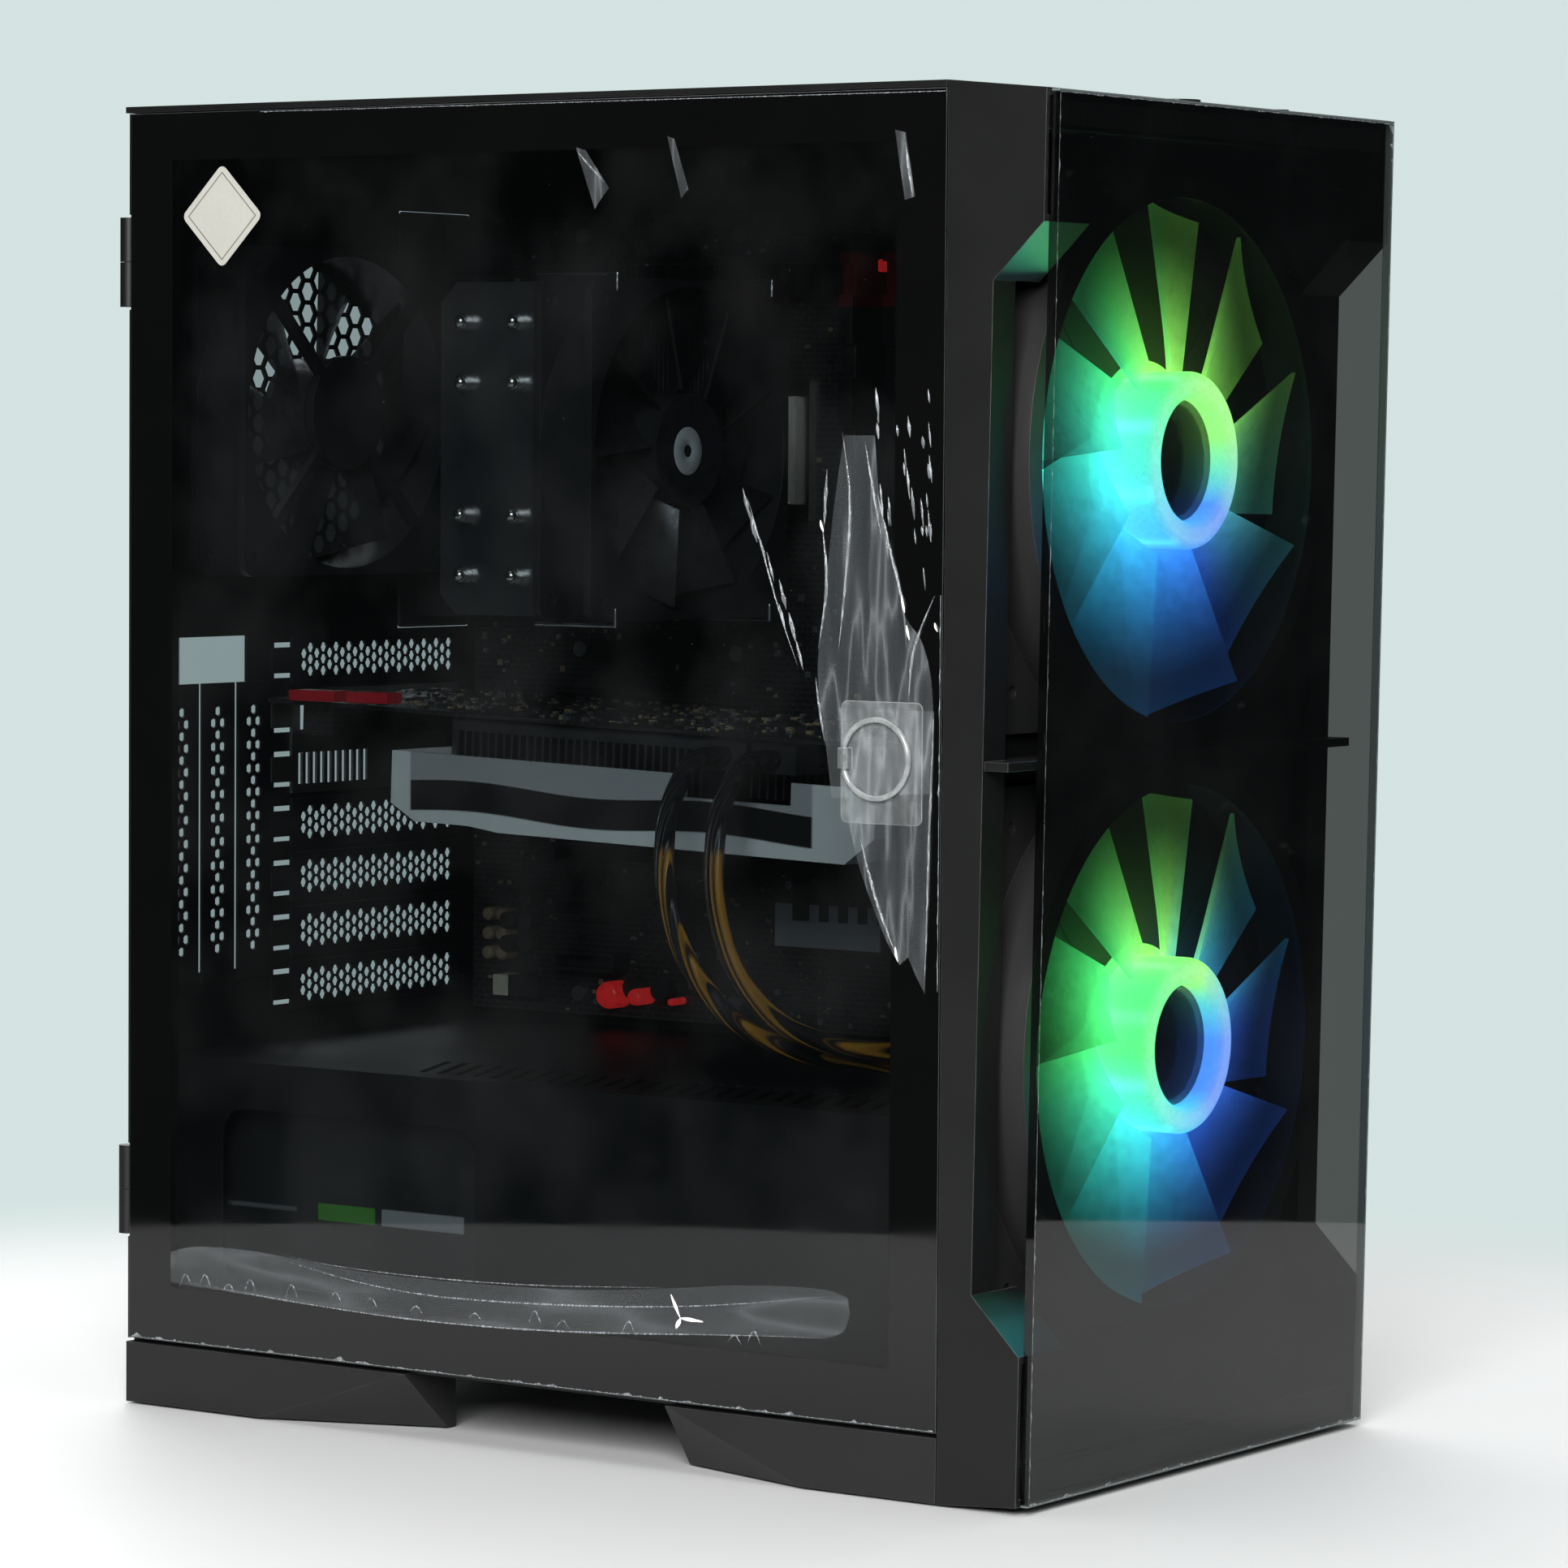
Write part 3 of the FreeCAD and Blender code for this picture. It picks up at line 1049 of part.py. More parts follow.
def gpu_bracket():
    """Two-slot steel bracket: openings for the sockets and ten vent slits below them."""
    x, low, high = (SLOT_NECK_X, SLOT_RIGHT + 3), SLOT_Z[2] - COVER_HALF, SLOT_Z[1] + COVER_HALF
    tab = TALL_SLOT_X[0] + TALL_COVER / 2 + 0.8
    outline = polygon([(x[0], low, 0), (x[1], low, 0), (x[1], high, 0), (x[0], high, 0),
                       (x[0], SLOT_Z[1] + NECK_HALF, 0), (tab, SLOT_Z[1] + NECK_HALF, 0),
                       (tab, SLOT_Z[1] - NECK_HALF, 0), (x[0], SLOT_Z[1] - NECK_HALF, 0),
                       (x[0], SLOT_Z[2] + NECK_HALF, 0), (tab, SLOT_Z[2] + NECK_HALF, 0),
                       (tab, SLOT_Z[2] - NECK_HALF, 0), (x[0], SLOT_Z[2] - NECK_HALF, 0)])
    slits = [oblong((x[0] + 4 + 4.3 * i, x[0] + 6.3 + 4.3 * i), (SLOT_Z[2] - 5.8, SLOT_Z[2] + 5.8))
             for i in range(10)]
    slits += [oblong((BOARD_X - 101, BOARD_X - 67), (CARD_Z - 12, CARD_Z - 3)),
              oblong((BOARD_X - 62, BOARD_X - 48), (CARD_Z - 12, CARD_Z - 5)),
              oblong((BOARD_X - 43, BOARD_X - 29), (CARD_Z - 12, CARD_Z - 5))]
    return plate_xz([outline] + slits, COVER_IN, STEEL)


def gpu_heatsink():
    """Finned block between the board and the shroud."""
    low, high = SHROUD_Z[0] + 15, CARD_Z - 2.0
    y = (GPU_FAR + 22, -84.0)
    count, pitch = 52, (y[1] - y[0]) / 52
    block = box((CARD_TOP_X - 8, SHROUD_X[1] - 6), y, (low, high))
    slots = [box((CARD_TOP_X - 9, SHROUD_X[1]), (y[0] + pitch * (i + 0.3), y[0] + pitch * (i + 1)),
                 (low - 1, high - 3)) for i in range(count - 1)]
    notch = [box((CARD_TOP_X - 9, CARD_TOP_X + 18), (GPU_FAR + 10, PLUGS_Y[1] + 12), (low - 1, high + 1)),
             box((CARD_TOP_X - 9, CARD_TOP_X + 6), (-95, -80), (low - 1, high + 1))]
    feet = [box((x, x + 8), (yy, yy + 8), (high - 1, CARD_Z - 0.8))
            for x in (CARD_TOP_X + 16, SHROUD_X[1] - 22) for yy in (-110, y[0] + 50)]
    return sag(fused([block.cut(Part.makeCompound(slots + notch))] + feet))


def gpu_shroud():
    """Open-topped cover around the heatsink with two round fan openings underneath."""
    (x0, x1), (z0, z1) = SHROUD_X, SHROUD_Z
    outline = [(-77, z0 + 6), (-88, z0), (-112, z0), (-126, z0 - 1.5), (GPU_FAR + 12, z0 - 1.5),
               (GPU_FAR, z0 + 8), (GPU_FAR, z1 - 6), (GPU_FAR + 10, z1), (-77, z1)]
    shell = side_prism(outline, (x0, x1))
    inner = [(-79, z0 + 7), (-89, z0 + 2), (GPU_FAR + 13, z0 + 1.0), (GPU_FAR + 2, z0 + 9),
             (GPU_FAR + 2, z1 + 9), (-79, z1 + 9)]
    shell = shell.cut(side_prism(inner, (x0 + 2, x1 - 2)))
    for y in GPU_FANS_Y:
        shell = shell.cut(rod(GPU_FAN_R + 1.5, (GPU_FAN_X, y, z0 - 5), (GPU_FAN_X, y, z0 + 5)))
        for turn in (90, 210, 330):
            arm = box((8, GPU_FAN_R + 4), (-2.5, 2.5), (z0 + 12.2, z0 + 14.2))
            arm.rotate(V(0, 0, 0), Z_AXIS, turn)
            arm.translate(V(GPU_FAN_X, y, 0))
            shell = shell.fuse(arm)
        ring = tube(GPU_FAN_R + 4.0, GPU_FAN_R + 1.5, (GPU_FAN_X, y, z0), (GPU_FAN_X, y, z0 + 14.2))
        shell = shell.fuse(ring.common(box((x0, x1), (GPU_FAR + 12, -80), (z0 + 1, z0 + 20))))
        shell = shell.fuse(rod(14, (GPU_FAN_X, y, z0 + 12.2), (GPU_FAN_X, y, z0 + 14.2)))
        shell = shell.fuse(rod(FAN_PIN_R - RUNNING, (GPU_FAN_X, y, z0 + 3.6), (GPU_FAN_X, y, z0 + 12.5)))
    notch = box((x0 - 1, CARD_TOP_X + 16), (PLUGS_Y[0] - 12, PLUGS_Y[1] + 12), (z1 - 8, z1 + 20))
    return sag(shell.cut(notch).removeSplitter())


def gpu_impeller():
    """Eleven-blade fan with its cup facing down."""
    cup = rod(19, (0, 0, 1.5), (0, 0, 10.6)).cut(rod(17.4, (0, 0, 3), (0, 0, 11)))
    boss = tube(FAN_PIN_R + 1.5, FAN_PIN_R, (0, 0, 3.0), (0, 0, 10.6))
    floor = rod(18, (0, 0, 1.5), (0, 0, 3.2))
    parts = [cup, boss, floor]
    first = blade(18.2, 43, 13, 23, 1.6, 8.8, 16, 1.1)
    for i in range(11):
        one = first.copy()
        one.rotate(V(0, 0, 0), Z_AXIS, 360 * i / 11)
        parts.append(one)
    return fused(parts)


nodes["gpu_board"] = gpu_board()
nodes["gpu_bracket"] = gpu_bracket()
nodes["gpu_heatsink"] = gpu_heatsink()
nodes["gpu_shroud"] = gpu_shroud()
for name, y in zip(("gpu_rear_fan", "gpu_front_fan"), GPU_FANS_Y):
    spinner = gpu_impeller()
    spinner.translate(V(GPU_FAN_X, y, SHROUD_Z[0]))
    nodes[name] = sag(spinner)

# ---------------------------------------------------------------- power supply
PSU_WALL = 1.2
PSU_Y = (REAR_IN - PSU_DEPTH, REAR_IN)
PSU_FAN_Y = PSU_Y[0] + 78
PSU_FAN_X = PSU_X + PSU_WIDTH / 2
PSU_FAN_R = 62.0
PSU_REAR = REAR_IN                          # rear face of the supply, against the panel
INLET_X, INLET_Z = PSU_X + 118, PSU_Z + 56
INLET_HALF_W, INLET_HALF_H = 14.0, 12.0
SWITCH_X, SWITCH_Z = PSU_X + 118, PSU_Z + 27
SWITCH_HALF_W, SWITCH_HALF_H = 6.6, 9.4
SWITCH_TILT = 7.0


def psu_case():
    """Steel box with a fan opening below, a vented rear and cut-outs for inlet and switch."""
    x, z = (PSU_X, PSU_X + PSU_WIDTH), (PSU_Z, PSU_Z + PSU_HEIGHT)
    shell = box(x, PSU_Y, z)
    shell = shell.cut(box((x[0] + PSU_WALL, x[1] - PSU_WALL), (PSU_Y[0] + PSU_WALL, PSU_Y[1] + 1),
                          (z[0] + PSU_WALL, z[1] - PSU_WALL)))
    shell = shell.cut(rod(PSU_FAN_R, (PSU_FAN_X, PSU_FAN_Y, z[0] - 1), (PSU_FAN_X, PSU_FAN_Y, z[0] + 3)))
    vents = hex_field((x[0] + 10, x[0] + 96), (z[0] + 10, z[1] - 10), 8.0, 6.4,
                      lambda u, v: x[0] + 12 < u < x[0] + 94 and z[0] + 12 < v < z[1] - 12)
    vents.append(oblong((INLET_X - INLET_HALF_W, INLET_X + INLET_HALF_W),
                        (INLET_Z - INLET_HALF_H, INLET_Z + INLET_HALF_H)))
    vents.append(oblong((SWITCH_X - SWITCH_HALF_W - SEAT, SWITCH_X + SWITCH_HALF_W + SEAT),
                        (SWITCH_Z - SWITCH_HALF_H - 0.5, SWITCH_Z + SWITCH_HALF_H + 0.5)))
    outline = oblong((x[0] + 0.5, x[1] - 0.5), (z[0] + 0.5, z[1] - 0.5))
    rear = plate_xz([outline] + vents, PSU_REAR - PSU_WALL, PSU_WALL)
    cheeks = [box(sorted((SWITCH_X + s * (SWITCH_HALF_W + SEAT), SWITCH_X + s * (SWITCH_HALF_W + 2.3))),
                  (PSU_REAR - 12, PSU_REAR - 0.5), (SWITCH_Z - 6, SWITCH_Z + 6)) for s in (-1, 1)]
    parts = [shell, rear] + cheeks
    for turn in range(4):
        arm = box((16, PSU_FAN_R + 2), (-2, 2), (z[0] + 15, z[0] + 17))
        arm.rotate(V(0, 0, 0), Z_AXIS, 45 + 90 * turn)
        arm.translate(V(PSU_FAN_X, PSU_FAN_Y, 0))
        parts.append(arm)
    parts.append(rod(18, (PSU_FAN_X, PSU_FAN_Y, z[0] + 15), (PSU_FAN_X, PSU_FAN_Y, z[0] + 17)))
    parts.append(tube(PSU_FAN_R + 3, PSU_FAN_R, (PSU_FAN_X, PSU_FAN_Y, z[0] + 1),
                      (PSU_FAN_X, PSU_FAN_Y, z[0] + 17)))
    parts.append(rod(FAN_PIN_R - RUNNING, (PSU_FAN_X, PSU_FAN_Y, z[0] + 4.4),
                     (PSU_FAN_X, PSU_FAN_Y, z[0] + 15.5)))
    body = fused(parts)
    pivot = rod(1.2, (SWITCH_X - 12, PSU_REAR - 5, SWITCH_Z), (SWITCH_X + 12, PSU_REAR - 5, SWITCH_Z))
    return body.cut(pivot)


def psu_impeller():
    cup = rod(20, (0, 0, 2.2), (0, 0, 13.8)).cut(rod(18.4, (0, 0, 4), (0, 0, 14)))
    boss = tube(FAN_PIN_R + 1.5, FAN_PIN_R, (0, 0, 4.0), (0, 0, 13.8))
    parts = [cup, boss, rod(19, (0, 0, 2.2), (0, 0, 4.0))]
    first = blade(19.2, 56, 18, 34, 2.4, 11.5, 14, 1.2)
    for i in range(7):
        one = first.copy()
        one.rotate(V(0, 0, 0), Z_AXIS, 360 * i / 7)
        parts.append(one)
    return fused(parts)


def psu_switch():
    """Rocker on a pin, shown pressed at the side marked on."""
    half_w, high = SWITCH_HALF_W, SWITCH_HALF_H - 0.6
    points = [(-4.0, -5.0), (-4.0, 5.0), (5.6, high), (7.4, 0.0), (5.6, -high)]
    outline = [(SWITCH_X - half_w, PSU_REAR - 5 + a, SWITCH_Z + b) for a, b in points]
    rocker = prism(outline, (2 * half_w, 0, 0))
    pin = rod(1.2 - RUNNING, (SWITCH_X - half_w - 1.9, PSU_REAR - 5, SWITCH_Z),
              (SWITCH_X + half_w + 1.9, PSU_REAR - 5, SWITCH_Z))
    body = fused([rocker, pin])
    body.rotate(V(SWITCH_X, PSU_REAR - 5, SWITCH_Z), X_AXIS, SWITCH_TILT)
    return body


def mains_inlet():
    """Three-pin appliance inlet in the rear of the power supply."""
    w, h = INLET_HALF_W - 0.2, INLET_HALF_H - 0.2
    body = box((INLET_X - w, INLET_X + w), (PSU_REAR - 20, PSU_REAR + 1.6), (INLET_Z - h, INLET_Z + h))
    cavity = box((INLET_X - 12, INLET_X + 12), (PSU_REAR - 15, PSU_REAR + 2), (INLET_Z - 8.2, INLET_Z + 8.2))
    pins = [box((INLET_X + dx - 1, INLET_X + dx + 1), (PSU_REAR - 16, PSU_REAR - 1),
                (INLET_Z + dz - 2, INLET_Z + dz + 2)) for dx, dz in ((-7, -1.5), (0, 2), (7, -1.5))]
    return fused([body.cut(cavity)] + pins)


nodes["psu_case"] = psu_case()
spinner = psu_impeller()
spinner.translate(V(PSU_FAN_X, PSU_FAN_Y, PSU_Z))
nodes["psu_impeller"] = spinner
nodes["psu_switch"] = psu_switch()
nodes["mains_inlet"] = mains_inlet()


# ---------------------------------------------------------------- cables held inside
def cord(points, diameter, name):
    """Tube along straight runs joined by tangent arcs as large as the runs allow."""
    points = [V(*p) for p in points]
    edges, here, radii = [], points[0], []
    for i in range(1, len(points) - 1):
        before, after = points[i] - points[i - 1], points[i + 1] - points[i]
        run = min(before.Length, after.Length)
        turn = before.getAngle(after)
        radius = 0.45 * run / math.tan(turn / 2)
        radii.append(round(radius, 1))
        a, b = V(before).normalize(), V(after).normalize()
        start, end = points[i] - a * (0.45 * run), points[i] + b * (0.45 * run)
        inward = (b - a).normalize()
        mid = points[i] + inward * (radius / math.cos(turn / 2) - radius)
        edges.append(Part.LineSegment(here, start).toShape())
        edges.append(Part.Arc(start, mid, end).toShape())
        here = end
    edges.append(Part.LineSegment(here, points[-1]).toShape())
    path = Part.Wire(edges)
    section = Part.Wire(Part.Circle(points[0], points[1] - points[0], diameter / 2).toShape())
    solid = path.makePipeShell([section], True, False, 2)
    print(name, "length", round(path.Length, 1), "radii", radii,
          "volume ratio", round(solid.Volume / (path.Length * math.pi * diameter ** 2 / 4), 4))
    return solid


CARD_CABLE = 7.0
BOARD_CABLE = 6.8
PLUG_X = (CARD_TOP_X - 14, CARD_TOP_X + 1)
CARD_ROUTES = (
    [(-89.0, -241.0, 222.0), (-93.5, -243.0, 196.0), (-88.0, -247.0, 170.0),
     (-72.0, -255.0, 150.0), (-48.0, -266.0, 140.5), (-20.0, -277.0, 138.0), (6.0, -286.0, 131.5),
     (24.0, -289.0, 114.0), (32.0, -283.0, 92.0), (33.5, -264.0, 72.0), (32.0, -236.0, 63.0),
     (29.5, -208.0, 60.5), (29.5, -181.0, 61.5)],
    [(-90.0, -220.5, 223.0), (-96.0, -224.0, 197.0), (-92.0, -230.5, 171.0),
     (-77.0, -241.5, 149.0), (-52.0, -254.0, 137.5), (-24.0, -265.5, 134.5), (1.0, -274.0, 126.5),
     (19.0, -276.5, 108.0), (25.0, -269.0, 85.0), (22.5, -251.0, 63.0), (18.0, -226.0, 50.5),
     (16.5, -200.0, 46.5), (16.0, -177.0, 47.5)],
)
PLUG_RUN = 19.0                             # straight length out of a plug
BOARD_ROUTE = [(40.4, -241.5, 296.0), (26.8, -255.0, 295.5), (26.8, -274.5, 294.0), (40.5, -288.0, 291.5),
               (61.0, -288.6, 287.5), (80.0, -288.0, 280.5), (97.5, -287.0, 265.0), (103.0, -284.5, 240.0),
               (103.0, -279.0, 207.0), (103.0, -267.0, 172.0), (103.0, -250.0, 138.0),
               (102.5, -233.0, 108.0), (93.0, -220.0, 85.0), (71.0, -208.5, 75.0), (54.0, -193.0, 77.0),
               (49.5, -173.0, 78.5)]


def card_cables():
    """Power cables of the graphics card, from its plugs down into the power supply cover."""
    cables = []
    for i, route in enumerate(CARD_ROUTES):
        start = Part.Vertex(PLUG_X[0], PLUGS_Y[i], CARD_Z - 6)
        start = sag(start).Point
        end = (route[-1][0], PSU_Y[0], route[-1][2])
        first = start - X_AXIS * PLUG_RUN
        cables.append(cord([start, first] + route + [end], CARD_CABLE, "card cable"))
    return group(cables)


def board_cable():
    """Main power cable: round through the tray, down behind it and back to the supply."""
    start = (BOARD_X - 12, BOARD_Y[0] + 6, BOARD_ROUTE[0][2])
    end = (BOARD_ROUTE[-1][0], PSU_Y[0], BOARD_ROUTE[-1][2])
    return cord([start] + BOARD_ROUTE + [end], BOARD_CABLE, "board cable")


def gpu_plugs():
    """Two eight-way plugs with sleeved necks, pushed into the card's power sockets."""
    parts = []
    for y in PLUGS_Y:
        z = (CARD_Z - 11, CARD_Z - 1)
        body = box(PLUG_X, (y - PLUG_WIDE / 2, y + PLUG_WIDE / 2), z)
        parts.append(body)
    return sag(group(parts))


nodes["gpu_power_plugs"] = gpu_plugs()
nodes["gpu_power_cables"] = card_cables()
nodes["board_power_cable"] = board_cable()

# ---------------------------------------------------------------- screws
def screw_y(x, z, y, length):
    """Screw with its head towards +Y, seated at y."""
    head = rod(SCREW_HEAD_R, (x, y, z), (x, y + SCREW_HEAD, z))
    cross = [box((x - 1.6, x + 1.6), (y + 0.8, y + 3), (z - 0.35, z + 0.35)),
             box((x - 0.35, x + 0.35), (y + 0.8, y + 3), (z - 1.6, z + 1.6))]
    shank = rod(SCREW_R, (x, y - length, z), (x, y + 0.2, z))
    return fused([head.cut(Part.makeCompound(cross)), shank])


def board_fixings():
    """A threaded spacer behind the motherboard and a screw in front at each hole."""
    parts = []
    for y, z in BOARD_SCREWS:
        back = BOARD_X + BOARD_THICK
        parts.append(tube(3.0, SCREW_R + 0.1, (back, y, z), (TRAY_X, y, z)))
        head = rod(SCREW_HEAD_R, (BOARD_X - SCREW_HEAD, y, z), (BOARD_X, y, z))
        parts.append(fused([head, rod(SCREW_R, (BOARD_X - 0.2, y, z), (TRAY_X - 1, y, z))]))
    return parts


screws = board_fixings()
screws += [screw_y(x, z, REAR_OUT, 3.0) for x, z in small_fan_holes(FAN_X, FAN_Z)]
nodes["screws"] = group(screws)

# ---------------------------------------------------------------- placing and export
front_reach = front_y(GLASS_HIGH) - GLASS_STAND - FRONT_GLASS
rear_reach = HINGE_OUT + HINGE_R
left_reach = pull_x - 1.3
ORIGIN = V(-(left_reach + HALF) / 2, -(front_reach + rear_reach) / 2, 0)

os.makedirs("parts", exist_ok=True)
for name, shape in nodes.items():
    moved = shape.copy()
    moved.translate(ORIGIN)
    moved.exportStep("parts/" + name + ".step")
    print(name, len(moved.Solids), moved.isValid(), round(moved.Volume))
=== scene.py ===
import math
import random

import bmesh
import bpy
from mathutils import Matrix, Vector, noise
from mathutils.bvhtree import BVHTree

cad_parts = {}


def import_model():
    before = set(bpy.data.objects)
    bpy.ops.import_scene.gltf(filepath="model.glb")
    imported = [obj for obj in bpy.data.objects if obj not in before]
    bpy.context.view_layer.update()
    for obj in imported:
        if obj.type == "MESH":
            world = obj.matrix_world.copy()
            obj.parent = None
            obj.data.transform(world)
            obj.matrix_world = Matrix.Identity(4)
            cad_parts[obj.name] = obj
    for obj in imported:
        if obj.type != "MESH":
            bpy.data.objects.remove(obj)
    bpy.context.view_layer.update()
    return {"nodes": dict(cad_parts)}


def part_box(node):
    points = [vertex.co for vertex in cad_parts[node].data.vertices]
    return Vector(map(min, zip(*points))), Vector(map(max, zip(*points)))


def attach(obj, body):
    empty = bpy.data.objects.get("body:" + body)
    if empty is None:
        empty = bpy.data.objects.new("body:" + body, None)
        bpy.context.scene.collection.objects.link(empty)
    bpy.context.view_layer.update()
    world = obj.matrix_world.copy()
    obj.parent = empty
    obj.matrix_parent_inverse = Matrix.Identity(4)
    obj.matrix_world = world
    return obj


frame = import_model()
nodes = frame["nodes"]
MM = 0.001


# ---------------- building materials
class Look:
    """One node material.

    Places in it are metres in the frame, because every node's object sits at its origin.
    """

    def __init__(self, name):
        self.material = bpy.data.materials.new(name)
        self.material.use_nodes = True
        self.tree = self.material.node_tree
        self.tree.nodes.clear()
        self.output = self.add("ShaderNodeOutputMaterial")
        self.place = self.add("ShaderNodeTexCoord").outputs["Object"]
        split = self.add("ShaderNodeSeparateXYZ")
        self.join(self.place, split.inputs[0])
        self.x, self.y, self.z = split.outputs

    def add(self, kind, **settings):
        node = self.tree.nodes.new(kind)
        for key, value in settings.items():
            setattr(node, key, value)
        return node

    def join(self, value, socket):
        if isinstance(value, bpy.types.NodeSocket):
            self.tree.links.new(value, socket)
        elif socket.type == "RGBA" and len(value) == 3:
            socket.default_value = (*value, 1)
        else:
            socket.default_value = value

    def math(self, operation, *values):
        node = self.add("ShaderNodeMath", operation=operation)
        for i, value in enumerate(values):
            self.join(value, node.inputs[i])
        return node.outputs[0]

    def plus(self, a, b):
        return self.math("ADD", a, b)

    def minus(self, a, b):
        return self.math("SUBTRACT", a, b)

    def times(self, a, b):
        return self.math("MULTIPLY", a, b)

    def scaled(self, value, from_low, from_high, to_low=0.0, to_high=1.0, smooth=False):
        node = self.add("ShaderNodeMapRange", interpolation_type="SMOOTHSTEP" if smooth else "LINEAR")
        for i, v in enumerate((value, from_low, from_high, to_low, to_high)):
            self.join(v, node.inputs[i])
        return node.outputs[0]

    def spread(self, noise_value, low, high):
        """The range from 0.3 to 0.7, where most of a noise lies, spread from low to high."""
        return self.scaled(noise_value, 0.3, 0.7, low, high)

    def band(self, value, low, high, soft=0.2 * MM):
        """1 where value lies between low and high, 0 outside."""
        up = self.scaled(value, low - soft, low + soft)
        down = self.scaled(value, high - soft, high + soft, 1.0, 0.0)
        return self.times(up, down)

    def noise(self, size, detail=3.0, rough=0.5, stretch=(1, 1, 1), seed=0.0):
        """Noise whose blobs are about size across, longer along the axes where stretch is above 1."""
        mapping = self.add("ShaderNodeMapping")
        self.join(self.place, mapping.inputs["Vector"])
        mapping.inputs["Location"].default_value = (seed, seed * 0.7, seed * 1.3)
        mapping.inputs["Scale"].default_value = tuple(1 / (size * s) for s in stretch)
        node = self.add("ShaderNodeTexNoise")
        self.join(mapping.outputs[0], node.inputs["Vector"])
        node.inputs["Scale"].default_value = 1.0
        node.inputs["Detail"].default_value = detail
        node.inputs["Roughness"].default_value = rough
        return node.outputs[0]

    def cells(self, size):
        """How far each place is from the middle of its cell, in cells about size across."""
        node = self.add("ShaderNodeTexVoronoi")
        self.join(self.place, node.inputs["Vector"])
        node.inputs["Scale"].default_value = 1 / size
        return node.outputs["Distance"]

    def ramp(self, value, stops):
        node = self.add("ShaderNodeValToRGB")
        elements = node.color_ramp.elements
        while len(elements) < len(stops):
            elements.new(0.5)
        for element, (position, colour) in zip(elements, stops):
            element.position = position
            element.color = (*colour, 1)
        self.join(value, node.inputs[0])
        return node.outputs[0]

    def mix(self, share, a, b):
        node = self.add("ShaderNodeMix", data_type="RGBA")
        self.join(share, node.inputs[0])
        self.join(a, node.inputs[6])
        self.join(b, node.inputs[7])
        return node.outputs[2]

    def bump(self, height, distance, strength=1.0, normal=None):
        node = self.add("ShaderNodeBump")
        node.inputs["Strength"].default_value = strength
        node.inputs["Distance"].default_value = distance
        self.join(height, node.inputs["Height"])
        if normal is not None:
            self.join(normal, node.inputs["Normal"])
        return node.outputs[0]

    def soft_edges(self, radius):
        """A normal that rounds sharp edges, and 1 on those edges."""
        bevel = self.add("ShaderNodeBevel", samples=4)
        bevel.inputs["Radius"].default_value = radius
        geometry = self.add("ShaderNodeNewGeometry")
        dot = self.add("ShaderNodeVectorMath", operation="DOT_PRODUCT")
        self.join(bevel.outputs[0], dot.inputs[0])
        self.join(geometry.outputs["Normal"], dot.inputs[1])
        return bevel.outputs[0], self.scaled(dot.outputs["Value"], 0.98, 0.82)

    def principled(self, colour, rough, **settings):
        node = self.add("ShaderNodeBsdfPrincipled")
        self.join(colour, node.inputs["Base Color"])
        self.join(rough, node.inputs["Roughness"])
        for key, value in settings.items():
            self.join(value, node.inputs[key.replace("_", " ")])
        return node.outputs[0]

    def blend(self, share, a, b):
        node = self.add("ShaderNodeMixShader")
        self.join(share, node.inputs[0])
        self.join(a, node.inputs[1])
        self.join(b, node.inputs[2])
        return node.outputs[0]

    def clear(self, tint, rough, ior=1.5, normal=None):
        """Thin sheet: a tinted view of what is behind it, and a reflection on its outer side."""
        through = self.add("ShaderNodeBsdfTransparent")
        self.join(tint, through.inputs["Color"])
        shine = self.add("ShaderNodeBsdfGlossy")
        self.join(rough, shine.inputs["Roughness"])
        fresnel = self.add("ShaderNodeFresnel")
        fresnel.inputs["IOR"].default_value = ior
        if normal is not None:
            self.join(normal, shine.inputs["Normal"])
            self.join(normal, fresnel.inputs["Normal"])
        geometry = self.add("ShaderNodeNewGeometry")
        outside = self.minus(1.0, geometry.outputs["Backfacing"])
        share = self.times(fresnel.outputs[0], outside)
        return self.blend(share, through.outputs[0], shine.outputs[0])

    def done(self, shader):
        self.join(shader, self.output.inputs["Surface"])
        return self.material

    def painted(self, colour, rough, **settings):
        """The finished material, where one principled shader is all it needs."""
        return self.done(self.principled(colour, rough, **settings))


def grey(level):
    return (level, level, level)


def shade(colour, share):
    return tuple(c * share for c in colour)


def satin(name, colour, rough, grain=0.9 * MM, relief=0.03 * MM, edge=0.35 * MM, wear_and_edge_highlight=0.09, metallic=0.0):
    """Painted or moulded surface: fine grain, cloudy gloss and edges lightened in patches, partly as rubbed
    wear and partly as a painted edge highlight.
    """
    look = Look(name)
    cloud = look.noise(38 * MM, 4.0, 0.55)
    fine = look.noise(grain, 2.0, 0.6, seed=3.1)
    base = look.mix(cloud, shade(colour, 0.75), shade(colour, 1.25))
    roughness = look.scaled(look.plus(cloud, look.times(fine, 0.5)), 0.3, 1.2,
                            rough - 0.06, rough + 0.08)
    normal = None
    if edge:
        normal, rim = look.soft_edges(edge)
        # lighter edges in patches: partly rubbed wear, partly a painted highlight along the edges
        patches = look.scaled(look.noise(9 * MM, seed=8.0), 0.35, 0.65, 0.35, 1.0)
        base = look.mix(look.times(rim, patches), base, tuple(c + wear_and_edge_highlight for c in colour))
    normal = look.bump(fine, relief, 0.6, normal)
    return look.painted(base, roughness, Normal=normal, Metallic=metallic, Specular_IOR_Level=0.32)


